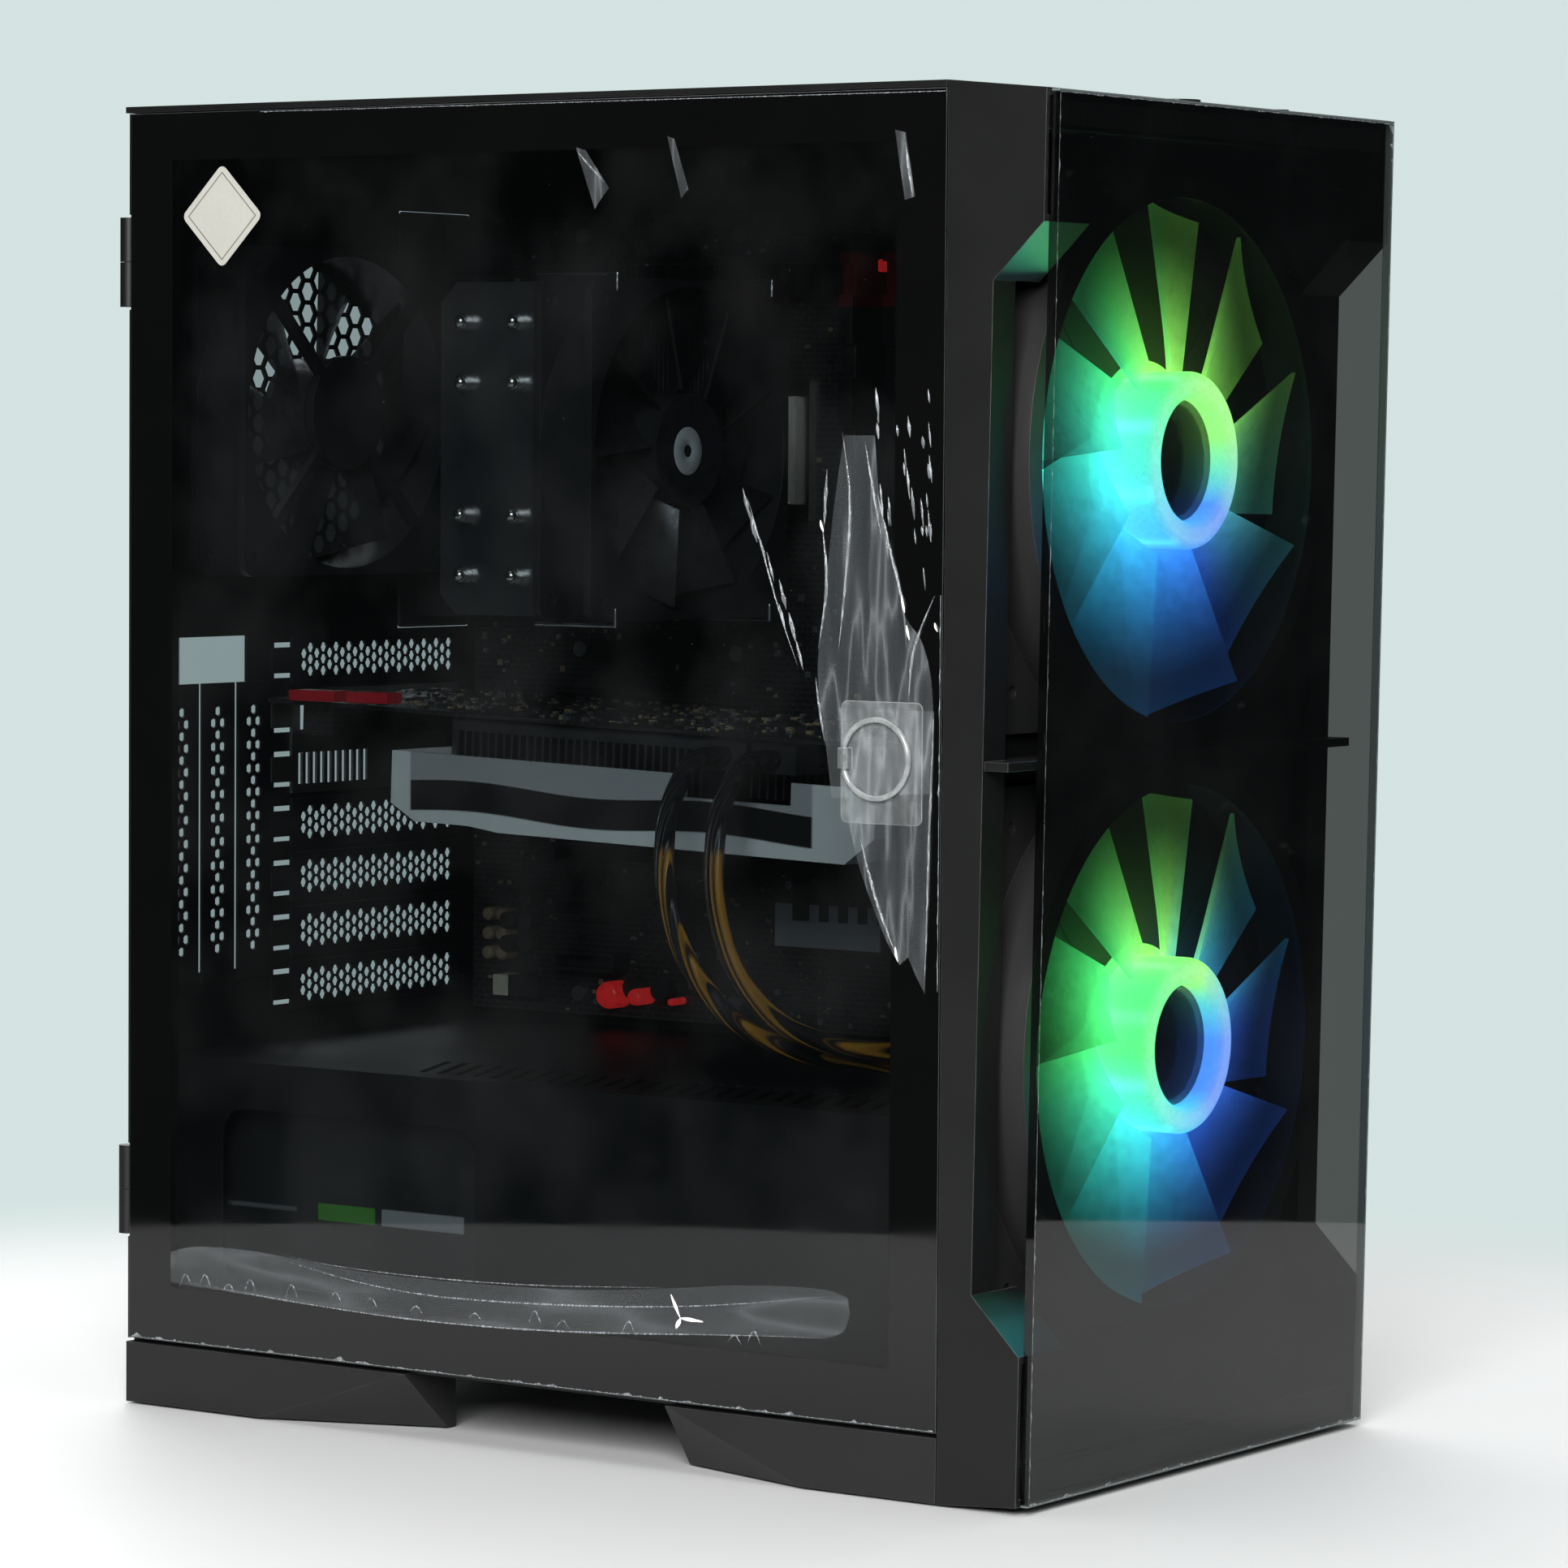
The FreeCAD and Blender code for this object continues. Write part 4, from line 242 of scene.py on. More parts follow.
def brushed(name, colour, rough, stretch, tarnish=0.25):
    """Bare metal with fine lines along one axis and faint stains."""
    look = Look(name)
    lines = look.noise(0.25 * MM, 3.0, 0.7, stretch=stretch)
    stain = look.noise(16 * MM, 4.0, 0.6, seed=5.0)
    base = look.mix(look.scaled(stain, 0.35, 0.75), colour, shade(colour, 1 - tarnish))
    base = look.mix(look.spread(lines, 0.0, 0.35), base, shade(colour, 0.7))
    roughness = look.scaled(lines, 0.25, 0.75, rough - 0.07, rough + 0.12)
    normal = look.bump(lines, 0.01 * MM, 0.5, look.soft_edges(0.15 * MM)[0])
    return look.painted(base, roughness, Metallic=1.0, Normal=normal)


def give(material, *names):
    """Put a material on the whole of each node named."""
    for name in names:
        nodes[name].data.materials.clear()
        nodes[name].data.materials.append(material)
        for polygon in nodes[name].data.polygons:
            polygon.material_index = 0


# ---------------- building pieces
def add_object(name, data):
    made = bpy.data.objects.new(name, data)
    bpy.context.scene.collection.objects.link(made)
    return made


def add_mesh(name, bm):
    mesh = bpy.data.meshes.new(name)
    bm.to_mesh(mesh)
    bm.free()
    return add_object(name, mesh)


def piece(name, bm, material, body, slot, smooth=False):
    """One visible piece made of all that bm holds, riding on body."""
    made = add_mesh(name, bm)
    made.data.materials.append(material)
    for polygon in made.data.polygons:
        polygon.use_smooth = smooth
    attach(made, body)


def add_block(bm, low, high, bevel=0.0):
    """A box with bevelled edges."""
    size = [b - a for a, b in zip(low, high)]
    centre = [(a + b) / 2 for a, b in zip(low, high)]
    made = bmesh.ops.create_cube(bm, size=1.0)
    for v in made["verts"]:
        v.co = Vector([m + c * s for m, c, s in zip(centre, v.co, size)])
    if bevel:
        edges = list({e for v in made["verts"] for e in v.link_edges})
        bmesh.ops.bevel(bm, geom=edges, offset=bevel, segments=2, profile=0.6, affect="EDGES")


def add_turned(bm, profile, centre, axis, sides=48):
    """A surface turned about an axis from (radius, height) points."""
    turn = Vector((0, 0, 1)).rotation_difference(Vector(axis)).to_matrix()
    rings = []
    for radius, height in profile:
        ring = []
        for i in range(sides):
            a = math.tau * i / sides
            local = Vector((radius * math.cos(a), radius * math.sin(a), height))
            ring.append(bm.verts.new(Vector(centre) + turn @ local))
        rings.append(ring)
    for one, two in zip(rings, rings[1:]):
        for i in range(sides):
            j = (i + 1) % sides
            bm.faces.new((one[i], one[j], two[j], two[i]))
    return rings


# ---------------- places taken from the frame
door_low, door_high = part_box("door_glass")
glass_low, glass_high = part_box("front_glass")
card_low, card_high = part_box("gpu_board")
shroud_low, shroud_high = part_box("gpu_shroud")
board_low, board_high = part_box("motherboard")
supply_low, supply_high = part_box("psu_case")
HALF_WIDTH = (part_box("right_side_panel")[1].x - door_low.x) / 2 / MM
# the door's printed border: its width at the front, rear, foot and head, and how far its edge fades
BORDER_FRONT, BORDER_REAR, BORDER_FOOT, BORDER_HEAD = 19.2 * MM, 19.6 * MM, 19.8 * MM, 16.9 * MM
BORDER_SOFT = 0.35 * MM
WINDOW_Y = (door_low.y + BORDER_FRONT, door_high.y - BORDER_REAR)
WINDOW_Z = (door_low.z + BORDER_FOOT, door_high.z - BORDER_HEAD)


def middle(name):
    low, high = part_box(name)
    return (low + high) / 2


# ---------------- glass
DOOR_TINT = (0.60, 0.635, 0.65)
FRONT_TINT = (0.34, 0.345, 0.34)


def dusty(look, most):
    """Fine specks and faint wiping marks, as a share of pale haze."""
    specks = look.scaled(look.cells(5.5 * MM), 0.045, 0.02)
    rare = look.scaled(look.noise(30 * MM, 2.0, seed=2.0), 0.52, 0.6)
    wipes = look.scaled(look.noise(45 * MM, seed=7.0), 0.4, 0.9, 0.0, 0.012)
    return look.plus(look.times(look.times(specks, rare), most), wipes)


def door_material():
    """Tinted glass with a black border printed on it."""
    look = Look("door_tinted_glass")
    ripple = look.noise(90 * MM, 1.0, seed=1.0)
    normal = look.bump(ripple, 0.25 * MM, 0.2)
    window = look.times(look.band(look.y, *WINDOW_Y, BORDER_SOFT), look.band(look.z, *WINDOW_Z, BORDER_SOFT))
    rough = look.spread(look.noise(25 * MM, 4.0, 0.6), 0.012, 0.045)
    clear = look.clear(DOOR_TINT, rough, normal=normal)
    veil = look.principled(grey(0.55), 0.6)
    clear = look.blend(dusty(look, 0.10), clear, veil)
    rounded, rim = look.soft_edges(0.5 * MM)
    printed = look.mix(look.noise(50 * MM), grey(0.0012), grey(0.0024))
    # the border's edges lightened: a painted highlight along the glass's edge
    printed = look.mix(look.times(rim, 0.8), printed, (0.10, 0.12, 0.12))
    border = look.principled(printed, look.plus(rough, 0.02), Normal=rounded, IOR=1.5)
    return look.done(look.blend(window, border, clear))


def front_material():
    """Smoked glass with fine scratches across it and ground edges, lightened partly by their frosting and
    partly as a painted edge highlight.
    """
    look = Look("front_smoked_glass")
    ripple = look.noise(120 * MM, 1.0, seed=4.0)
    normal = look.bump(ripple, 0.25 * MM, 0.2)
    rough = look.spread(look.noise(25 * MM, 4.0, 0.6, seed=3.0), 0.012, 0.05)
    clear = look.clear(FRONT_TINT, rough, normal=normal)
    veil = look.principled(grey(0.5), 0.6)
    scratches = look.noise(0.5 * MM, 2.0, stretch=(60, 1, 25), seed=6.0)
    scratches = look.scaled(scratches, 0.72, 0.8, 0.0, 0.10)
    haze = look.plus(dusty(look, 0.12), look.times(scratches, 0.4))
    clear = look.blend(haze, clear, veil)
    side = look.math("ABSOLUTE", look.x)
    near_side = look.scaled(side, glass_high.x - 1.0 * MM, glass_high.x - 0.3 * MM)
    ends = look.math("MAXIMUM", look.scaled(look.z, glass_low.z + 0.9 * MM, glass_low.z + 0.2 * MM),
                     look.scaled(look.z, glass_high.z - 1.0 * MM, glass_high.z - 0.3 * MM))
    # pale ground edges: frosted glass and a painted highlight along the edge
    ground = look.principled((0.16, 0.19, 0.185), 0.35, Normal=look.soft_edges(0.5 * MM)[0])
    edges = look.times(look.math("MAXIMUM", near_side, ends), 0.85)
    return look.done(look.blend(edges, clear, ground))


give(door_material(), "door_glass")
give(front_material(), "front_glass")


# ---------------- lit fans
def glow_colour(look, centre, stops):
    """Colour by the angle about a fan's axis, from 0 at -X through the bottom, +X and the top.

    Gives that colour, the distance from the axis and the angle as a share of a turn.
    """
    across = look.minus(look.x, centre.x)
    up = look.minus(look.z, centre.z)
    pack = look.add("ShaderNodeCombineXYZ")
    look.join(across, pack.inputs[0])
    look.join(up, pack.inputs[1])
    turn = look.add("ShaderNodeTexGradient", gradient_type="RADIAL")
    look.join(pack.outputs[0], turn.inputs[0])
    length = look.add("ShaderNodeVectorMath", operation="LENGTH")
    look.join(pack.outputs[0], length.inputs[0])
    return look.ramp(turn.outputs[1], stops), length.outputs["Value"], turn.outputs[1]


GREEN, LIME, AQUA, CYAN = (0.05, 1.0, 0.20), (0.30, 1.0, 0.12), (0.03, 0.95, 0.75), (0.02, 0.60, 1.0)
BLUE = (0.01, 0.16, 1.0)
UPPER_GLOW = ((0.0, AQUA), (0.12, CYAN), (0.24, (0.01, 0.32, 1.0)), (0.37, BLUE), (0.47, (0.10, 0.75, 0.55)),
              (0.56, LIME), (0.72, LIME), (0.84, GREEN), (1.0, AQUA))
LOWER_GLOW = ((0.0, GREEN), (0.13, AQUA), (0.25, CYAN), (0.36, BLUE), (0.5, BLUE),
              (0.60, (0.05, 0.6, 0.75)), (0.70, LIME), (0.88, GREEN), (1.0, GREEN))
RING_INNER, RING_OUTER = 20.8 * MM, 30.2 * MM   # radii of a light ring
RING_LAMPS = 8


def ring_material(name, centre, stops):
    """Frosted ring that glows, brightest over each of its lamps."""
    look = Look(name)
    colour, radius, turn = glow_colour(look, centre, stops)
    face = look.band(radius, RING_INNER + 1.6 * MM, RING_OUTER - 1.4 * MM, 1.6 * MM)
    pale = look.mix(look.scaled(face, 0, 1, 0.06, 0.26), colour, (0.80, 1.0, 0.90))
    lamps = look.math("ABSOLUTE", look.math("SINE", look.times(turn, math.pi * RING_LAMPS)))
    lamps = look.math("POWER", lamps, 14.0)
    outside = look.scaled(radius, RING_OUTER - 2 * MM, RING_OUTER - 0.2 * MM)
    frost = look.noise(1.4 * MM, 3.0, 0.6)
    strength = look.plus(look.spread(frost, 8.0, 9.8), look.times(look.times(lamps, outside), 5.0))
    return look.painted(look.mix(frost, grey(0.7), grey(0.85)), 0.45,
                        Emission_Color=pale, Emission_Strength=strength)


def blade_material(name, centre, stops):
    """Milky blades about a dark hub, with a painted glow for the ring's light in them that fades outwards,
    and a faint painted glow towards their tips.
    """
    look = Look(name)
    colour, radius, _ = glow_colour(look, centre, stops)
    streak = look.noise(4 * MM, seed=1.5)
    # painted glow: the ring's light in the blades, strongest next to the ring
    near = look.math("POWER", look.scaled(radius, RING_OUTER, RING_OUTER + 60 * MM, 1.0, 0.0), 2.8)
    far = look.scaled(radius, RING_OUTER, RING_OUTER + 75 * MM, 0.42, 0.12)
    strength = look.times(look.plus(look.times(near, 11.0), far), look.scaled(streak, 0.2, 0.8, 0.8, 1.2))
    blade = look.scaled(radius, RING_OUTER - 2 * MM, RING_OUTER)
    # faint painted glow towards the blade tips
    tip = look.scaled(radius, 76 * MM, 92 * MM, 0.0, 0.5)
    strength = look.plus(look.times(strength, blade), tip)
    tint = look.mix(0.03, colour, grey(1.0))
    base = look.mix(blade, grey(0.006), look.mix(streak, (0.09, 0.11, 0.11), (0.14, 0.16, 0.16)))
    return look.painted(base, look.spread(streak, 0.25, 0.4), Alpha=0.62,
                        Emission_Color=tint, Emission_Strength=strength)


for level, stops in (("upper", UPPER_GLOW), ("lower", LOWER_GLOW)):
    centre = middle(level + "_fan_light_ring")
    give(ring_material(level + "_lit_ring", centre, stops), level + "_fan_light_ring")
    give(blade_material(level + "_milky_blades", centre, stops), level + "_fan_impeller")

give(satin("fan_frame_plastic", grey(0.022), 0.38, wear_and_edge_highlight=0.05), "lower_fan_frame", "upper_fan_frame")
give(satin("small_fan_plastic", grey(0.014), 0.42, wear_and_edge_highlight=0.03), "rear_fan_frame", "cooler_fan_frame")


def smoky_material():
    look = Look("smoky_blades")
    streak = look.noise(6 * MM, 3.0, 0.6)
    base = look.mix(streak, grey(0.012), grey(0.03))
    return look.painted(base, look.spread(streak, 0.22, 0.38), Alpha=0.86)


give(smoky_material(), "rear_fan_impeller", "cooler_fan_impeller")
give(satin("card_fan_plastic", grey(0.016), 0.35, edge=0), "gpu_rear_fan", "gpu_front_fan", "psu_impeller")

# ---------------- case
give(satin("black_powder_coat", (0.0055, 0.0056, 0.0058), 0.46, grain=0.7 * MM, relief=0.035 * MM, wear_and_edge_highlight=0.04),
     "rear_panel", "slot_covers", "bottom_pan", "motherboard_tray", "front_frame", "roof_panel", "psu_shroud",
     "right_side_panel", "door_hinges", "case_hinges")
give(satin("black_bezel_plastic", (0.0060, 0.0061, 0.0063), 0.44, grain=0.5 * MM, relief=0.02 * MM,
           wear_and_edge_highlight=0.14), "front_bezel")
give(satin("black_foot_plastic", (0.012, 0.012, 0.0125), 0.5, grain=0.6 * MM, relief=0.03 * MM, wear_and_edge_highlight=0.07),
     "rear_feet", "front_feet")
give(satin("foot_rubber", grey(0.022), 0.8, grain=0.4 * MM, relief=0.05 * MM, edge=0), "foot_pads")
give(satin("black_thumbscrew", grey(0.02), 0.35, grain=0.3 * MM, metallic=0.6, wear_and_edge_highlight=0.2), "thumbscrews")
give(satin("foam_tape", grey(0.012), 0.9, grain=0.5 * MM, relief=0.1 * MM, edge=0), "glass_tape")
give(satin("button_plastic", grey(0.02), 0.25, wear_and_edge_highlight=0.05), "power_button", "reset_button", "psu_switch")
give(satin("inlet_plastic", grey(0.017), 0.5), "mains_inlet")


def mesh_material():
    """Fine woven filter, its openings painted near black for the shade seen through them."""
    look = Look("filter_mesh")
    size = 1.1 * MM

    def strands(axis):
        wave = look.math("SINE", look.times(axis, math.tau / size))
        return look.scaled(wave, -0.2, 0.9)

    weave = look.math("MAXIMUM", strands(look.x), strands(look.y))
    # openings between strands near black: painted shade
    base = look.mix(weave, grey(0.002), grey(0.035))
    normal = look.bump(weave, 0.15 * MM, 0.8)
    return look.painted(base, 0.65, Normal=normal)


give(mesh_material(), "roof_filter", "bottom_filter")
give(brushed("socket_steel", (0.55, 0.55, 0.56), 0.3, (1, 1, 6)), "front_sockets", "io_shield")
give(brushed("zinc_steel", (0.50, 0.49, 0.46), 0.36, (6, 1, 1)), "gpu_bracket", "screws")


def clear_plastic():
    look = Look("clear_plastic")
    wobble = look.noise(5 * MM, 3.0, 0.6)
    normal = look.bump(wobble, 0.4 * MM, 0.7)
    rounded, rim = look.soft_edges(0.6 * MM)
    sheet = look.clear((0.86, 0.88, 0.88), 0.06, 1.6, normal)
    veil = look.principled((0.55, 0.57, 0.57), 0.25, Normal=rounded)
    # pale along the edges: a painted highlight there, besides the cloudiness from the wobble
    haze = look.plus(look.times(rim, 0.55), look.scaled(wobble, 0.45, 0.75, 0.10, 0.24))
    return look.done(look.blend(haze, sheet, veil))


def silvery_plastic():
    look = Look("clear_moulded_ring")
    wobble = look.noise(7 * MM, 3.0, 0.6, seed=4.0)
    normal = look.bump(wobble, 0.3 * MM, 0.6)
    sheet = look.clear((0.72, 0.74, 0.74), 0.08, 1.9, normal)
    veil = look.principled((0.50, 0.52, 0.52), 0.2, Normal=normal)
    return look.done(look.blend(look.scaled(wobble, 0.35, 0.7, 0.25, 0.6), sheet, veil))


give(clear_plastic(), "pull_base")
give(silvery_plastic(), "pull_ring")


def sticker_material():
    """Plain cream diamond with a thin dark line inside its edge, and nothing printed on it."""
    look = Look("blank_label")
    centre = middle("diamond_sticker")
    low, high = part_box("diamond_sticker")
    wide, tall = (high.y - low.y) / 2, (high.z - low.z) / 2
    across = look.math("DIVIDE", look.math("ABSOLUTE", look.minus(look.y, centre.y)), wide)
    up = look.math("DIVIDE", look.math("ABSOLUTE", look.minus(look.z, centre.z)), tall)
    line = look.band(look.plus(across, up), 0.865, 0.895, 0.006)
    paper = look.mix(look.noise(1.2 * MM, 4.0, 0.6), (0.44, 0.435, 0.39), (0.52, 0.51, 0.46))
    stain = look.scaled(look.noise(14 * MM, seed=2.0), 0.4, 0.8, 0.0, 0.3)
    paper = look.mix(stain, paper, (0.38, 0.37, 0.31))
    base = look.mix(look.times(line, 0.85), paper, grey(0.03))
    return look.painted(base, 0.38)


give(sticker_material(), "diamond_sticker")


# ---------------- boards and cards
def board_material():
    """Black solder mask with faint tracks and scattered vias."""
    look = Look("circuit_board")
    brick = look.add("ShaderNodeTexBrick")
    turned = look.add("ShaderNodeCombineXYZ")
    look.join(look.plus(look.y, look.x), turned.inputs[0])
    look.join(look.z, turned.inputs[1])
    look.join(turned.outputs[0], brick.inputs["Vector"])
    brick.inputs["Scale"].default_value = 1 / (9 * MM)
    brick.inputs["Mortar Size"].default_value = 0.045
    brick.inputs["Color1"].default_value = (0.010, 0.011, 0.011, 1)
    brick.inputs["Color2"].default_value = (0.014, 0.013, 0.013, 1)
    brick.inputs["Mortar"].default_value = (0.030, 0.030, 0.028, 1)
    vias = look.scaled(look.cells(3.1 * MM), 0.12, 0.07)
    sparse = look.scaled(look.noise(17 * MM, 2.0, seed=9.0), 0.5, 0.56)
    base = look.mix(look.times(vias, sparse), brick.outputs[0], (0.30, 0.25, 0.12))
    normal = look.bump(brick.outputs[1], 0.05 * MM, 0.5)
    return look.painted(base, look.spread(look.noise(20 * MM), 0.28, 0.42), Normal=normal)


give(board_material(), "motherboard", "gpu_board")
give(satin("socket_plastic", grey(0.02), 0.4, wear_and_edge_highlight=0.03), "board_parts", "board_sockets", "gpu_power_plugs")


def red_edged(name, low, high):
    """Dark anodised aluminium whose upper edge is red."""
    look = Look(name)
    lines = look.noise(0.3 * MM, 3.0, 0.7, stretch=(1, 1, 8))
    dark = look.mix(lines, grey(0.012), grey(0.03))
    red = look.mix(lines, (0.22, 0.006, 0.008), (0.35, 0.012, 0.014))
    span = high.z - low.z
    share = look.band(look.z, high.z - 0.20 * span, high.z - 0.05 * span, 0.5 * MM)
    normal, rim = look.soft_edges(0.25 * MM)
    base = look.mix(share, dark, red)
    # edges lightened: a painted highlight along them
    base = look.mix(look.times(rim, 0.6), base, grey(0.16))
    return look.painted(base, look.spread(lines, 0.28, 0.42), Metallic=0.7, Normal=normal)


give(red_edged("memory_spreader", *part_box("memory_modules")), "memory_modules")
give(red_edged("chipset_heatsink", *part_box("board_heatsinks")), "board_heatsinks")
give(brushed("fin_aluminium", (0.33, 0.33, 0.34), 0.34, (1, 6, 1), tarnish=0.35),
     "cooler_fins", "gpu_heatsink")
CARD_SAG = math.radians(1.7)
give(brushed("nickel_pipe", (0.66, 0.63, 0.58), 0.16, (8, 1, 1), tarnish=0.2), "cooler_base")
give(brushed("spring_wire", (0.62, 0.62, 0.62), 0.2, (1, 1, 1)), "cooler_clips")


def shroud_material():
    """Silver and white cover with a black band along its side and white ends."""
    look = Look("card_shroud")
    far, near = shroud_low.y, shroud_high.y
    level = look.minus(look.z, look.times(look.minus(look.y, near), math.tan(CARD_SAG)))
    low = shroud_high.z - 25 * MM
    wave = look.times(look.math("SINE", look.times(look.y, 60.0)), 1.2 * MM)
    level = look.plus(level, wave)
    band = look.band(level, low + 4 * MM, low + 15 * MM, 0.3 * MM)
    length = look.band(look.y, far + 26 * MM, near - 9 * MM, 0.5 * MM)
    black = look.times(band, length)
    upper = look.scaled(level, low + 14.5 * MM, low + 15.5 * MM)
    speck = look.noise(0.5 * MM, 2.0, 0.6)
    silver = look.mix(speck, grey(0.30), grey(0.42))
    white = look.mix(speck, (0.66, 0.66, 0.64), (0.74, 0.74, 0.72))
    base = look.mix(look.times(upper, length), white, silver)
    base = look.mix(black, base, look.mix(speck, grey(0.008), grey(0.016)))
    return look.painted(base, look.spread(speck, 0.26, 0.4), Normal=look.soft_edges(0.3 * MM)[0])


give(shroud_material(), "gpu_shroud")


def supply_material():
    """Black box with plain stripes, one green and two grey, where a label would be."""
    look = Look("power_supply_case")
    cloud = look.noise(30 * MM, 4.0, 0.6)
    fine = look.noise(0.6 * MM, 2.0, 0.6)
    base = look.mix(cloud, grey(0.012), grey(0.018))
    side = look.scaled(look.x, supply_low.x + 0.6 * MM, supply_low.x + 0.3 * MM)
    rear = supply_high.y
    stripe_z = (supply_low.z + 45.0 * MM, supply_low.z + 51.0 * MM)

    def stripe(start, end, z):
        area = look.times(look.band(look.y, rear - end, rear - start), look.band(look.z, *z))
        return look.times(area, side)

    base = look.mix(stripe(68 * MM, 94 * MM, stripe_z), base, (0.055, 0.27, 0.02))
    base = look.mix(stripe(97 * MM, 134 * MM, stripe_z), base, grey(0.30))
    thin_z = (stripe_z[0] + 2.2 * MM, stripe_z[0] + 3.8 * MM)
    base = look.mix(stripe(26 * MM, 58 * MM, thin_z), base, grey(0.12))
    normal, rim = look.soft_edges(0.4 * MM)
    normal = look.bump(fine, 0.04 * MM, 0.6, normal)
    # edges lightened: a painted highlight along them
    base = look.mix(look.times(rim, 0.5), base, grey(0.07))
    return look.painted(base, look.spread(fine, 0.42, 0.56), Normal=normal)


give(supply_material(), "psu_case")


def sleeve_material():
    """Black braid, darker in the hollows between its strands with painted shade."""
    look = Look("black_sleeve")
    ridge = look.scaled(look.cells(1.5 * MM), 0.1, 0.6, 1.0, 0.0)
    # hollows between strands darker: painted shade
    base = look.mix(ridge, grey(0.006), grey(0.035))
    return look.painted(base, 0.55, Normal=look.bump(ridge, 0.3 * MM, 0.8))


def wires_material(top):
    """Amber and black wires side by side, under a black sleeve near the plugs."""
    look = Look("wire_bundle")
    across = look.plus(look.y, look.times(look.x, 0.3))
    across = look.minus(across, look.times(look.z, 0.10))
    wave = look.math("SINE", look.times(across, math.tau / (2.1 * MM)))
    pick = look.noise(8 * MM, seed=4.0)
    pair = look.math("SINE", look.times(across, math.tau / (4.9 * MM)))
    amber = look.scaled(pair, -0.3, -0.1)
    low_part = look.scaled(look.z, top - 3 * MM, top - 6 * MM)
    wire = look.mix(look.times(amber, low_part), grey(0.012), (0.42, 0.19, 0.018))
    # dark lines between the wires: painted shade in the gaps
    painted_gap_shade = look.scaled(wave, -1.0, -0.3)
    base = look.mix(painted_gap_shade, grey(0.004), wire)
    normal = look.bump(wave, 0.8 * MM, 0.8)
    return look.painted(base, look.spread(pick, 0.3, 0.45), Normal=normal)


give(sleeve_material(), "board_power_cable")
give(wires_material(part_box("gpu_power_plugs")[0].z - 20 * MM), "gpu_power_cables")


# ---------------- places on the object
def at(x, y, z):
    """A place in the case, in millimetres from its middle, the door's rear edge and the floor."""
    return Vector((door_low.x + (HALF_WIDTH + x) * MM, door_high.y + y * MM, z * MM))


def case_x(x):
    """The x that at() takes for a place whose x in the frame is known."""
    return (x - at(0, 0, 0).x) / MM


def off_door(y, z, lift):
    """A place that stands lift metres off the outer face of the door's glass."""
    return at(-HALF_WIDTH, y, z) - Vector((lift, 0, 0))


def tree_of(*names):
    """The surfaces of those nodes, for casting rays at."""
    bm = bmesh.new()
    for name in names:
        bm.from_mesh(nodes[name].data)
    tree = BVHTree.FromBMesh(bm)
    bm.free()
    return tree


def along(points, count):
    """count places evenly spaced along a broken line, its corners rounded by averaging."""
    points = [Vector(p) for p in points]
    for _ in range(2):
        cut = [points[0]]
        for a, b in zip(points, points[1:]):
            cut += [a.lerp(b, 0.25), a.lerp(b, 0.75)]
        points = cut + [points[-1]]
    lengths = [0.0]
    for a, b in zip(points, points[1:]):
        lengths.append(lengths[-1] + (b - a).length)
    placed, k = [], 0
    for i in range(count):
        want = lengths[-1] * i / (count - 1)
        while k < len(points) - 2 and lengths[k + 1] < want:
            k += 1
        span = max(lengths[k + 1] - lengths[k], 1e-9)
        placed.append(points[k].lerp(points[k + 1], (want - lengths[k]) / span))
    return placed


# ---------------- protective film on the glasses
def film_material(name, haze_and_highlight_low, haze_and_highlight_high, size=14 * MM, stretch=(1, 0.5, 4)):
    """Clear film: nearly see-through, with pale streaks where it is creased, partly the whitening of creased
    film and partly a painted highlight on its ridges.
    """
    look = Look(name)
    folds = look.noise(size, 2.0, 0.45, stretch=stretch, seed=2.7)
    ridge = look.minus(1.0, look.math("ABSOLUTE", look.scaled(folds, 0.2, 0.8, -1.0, 1.0)))
    normal = look.bump(ridge, 0.6 * MM, 0.5)
    # pale streaks along the ridges: whitening of creased film and a painted highlight
    haze = look.scaled(look.math("POWER", ridge, 9.0), 0.0, 1.0, haze_and_highlight_low, haze_and_highlight_high)
    sheet = look.clear(grey(0.98), 0.12, 1.4, normal)
    # the veil paler on the ridges: painted highlight
    veil = look.principled(look.mix(ridge, (0.40, 0.45, 0.48), (0.66, 0.71, 0.74)), 0.35, Normal=normal)
    return look.done(look.blend(haze, sheet, veil))


FILM = film_material("clear_film", 0.055, 0.17)
FILM_BAND = film_material("clear_film_band", 0.05, 0.10, 30 * MM, (1, 4, 0.6))
CREASE = film_material("film_crease", 0.22, 0.55, 3 * MM)
# how far each stands off its glass: film on the door, film in the door's seam and in the front glass's
FILM_LIFT, SEAM_LIFT, FRONT_SEAM_LIFT = 0.25 * MM, 0.15 * MM, 0.012 * MM


def film(bm, one, two, rows, across, lift, seed):
    """Film on the door between two broken lines of (y, z), wrinkled outwards by up to lift millimetres."""
    first = along([(0, *p) for p in one], rows)
    second = along([(0, *p) for p in two], rows)
    grid = []
    for i in range(rows):
        line = []
        for j in range(across + 1):
            p = first[i].lerp(second[i], j / across)
            wave = noise.noise(Vector((p.y * 0.14 + seed, p.z * 0.012, seed)))
            small = noise.noise(Vector((p.y * 0.4, p.z * 0.03 + seed, 4.0)))
            rise = lift * max(0.0, 0.3 + 0.8 * wave + 0.15 * small)
            fade = min(1.0, (j + 1) / 2, (across - j + 1) / 2)
            line.append(bm.verts.new(off_door(p.y, p.z, FILM_LIFT + rise * fade * MM)))
        grid.append(line)
    for a, b in zip(grid, grid[1:]):
        for j in range(across):
            bm.faces.new((a[j], a[j + 1], b[j + 1], b[j]))


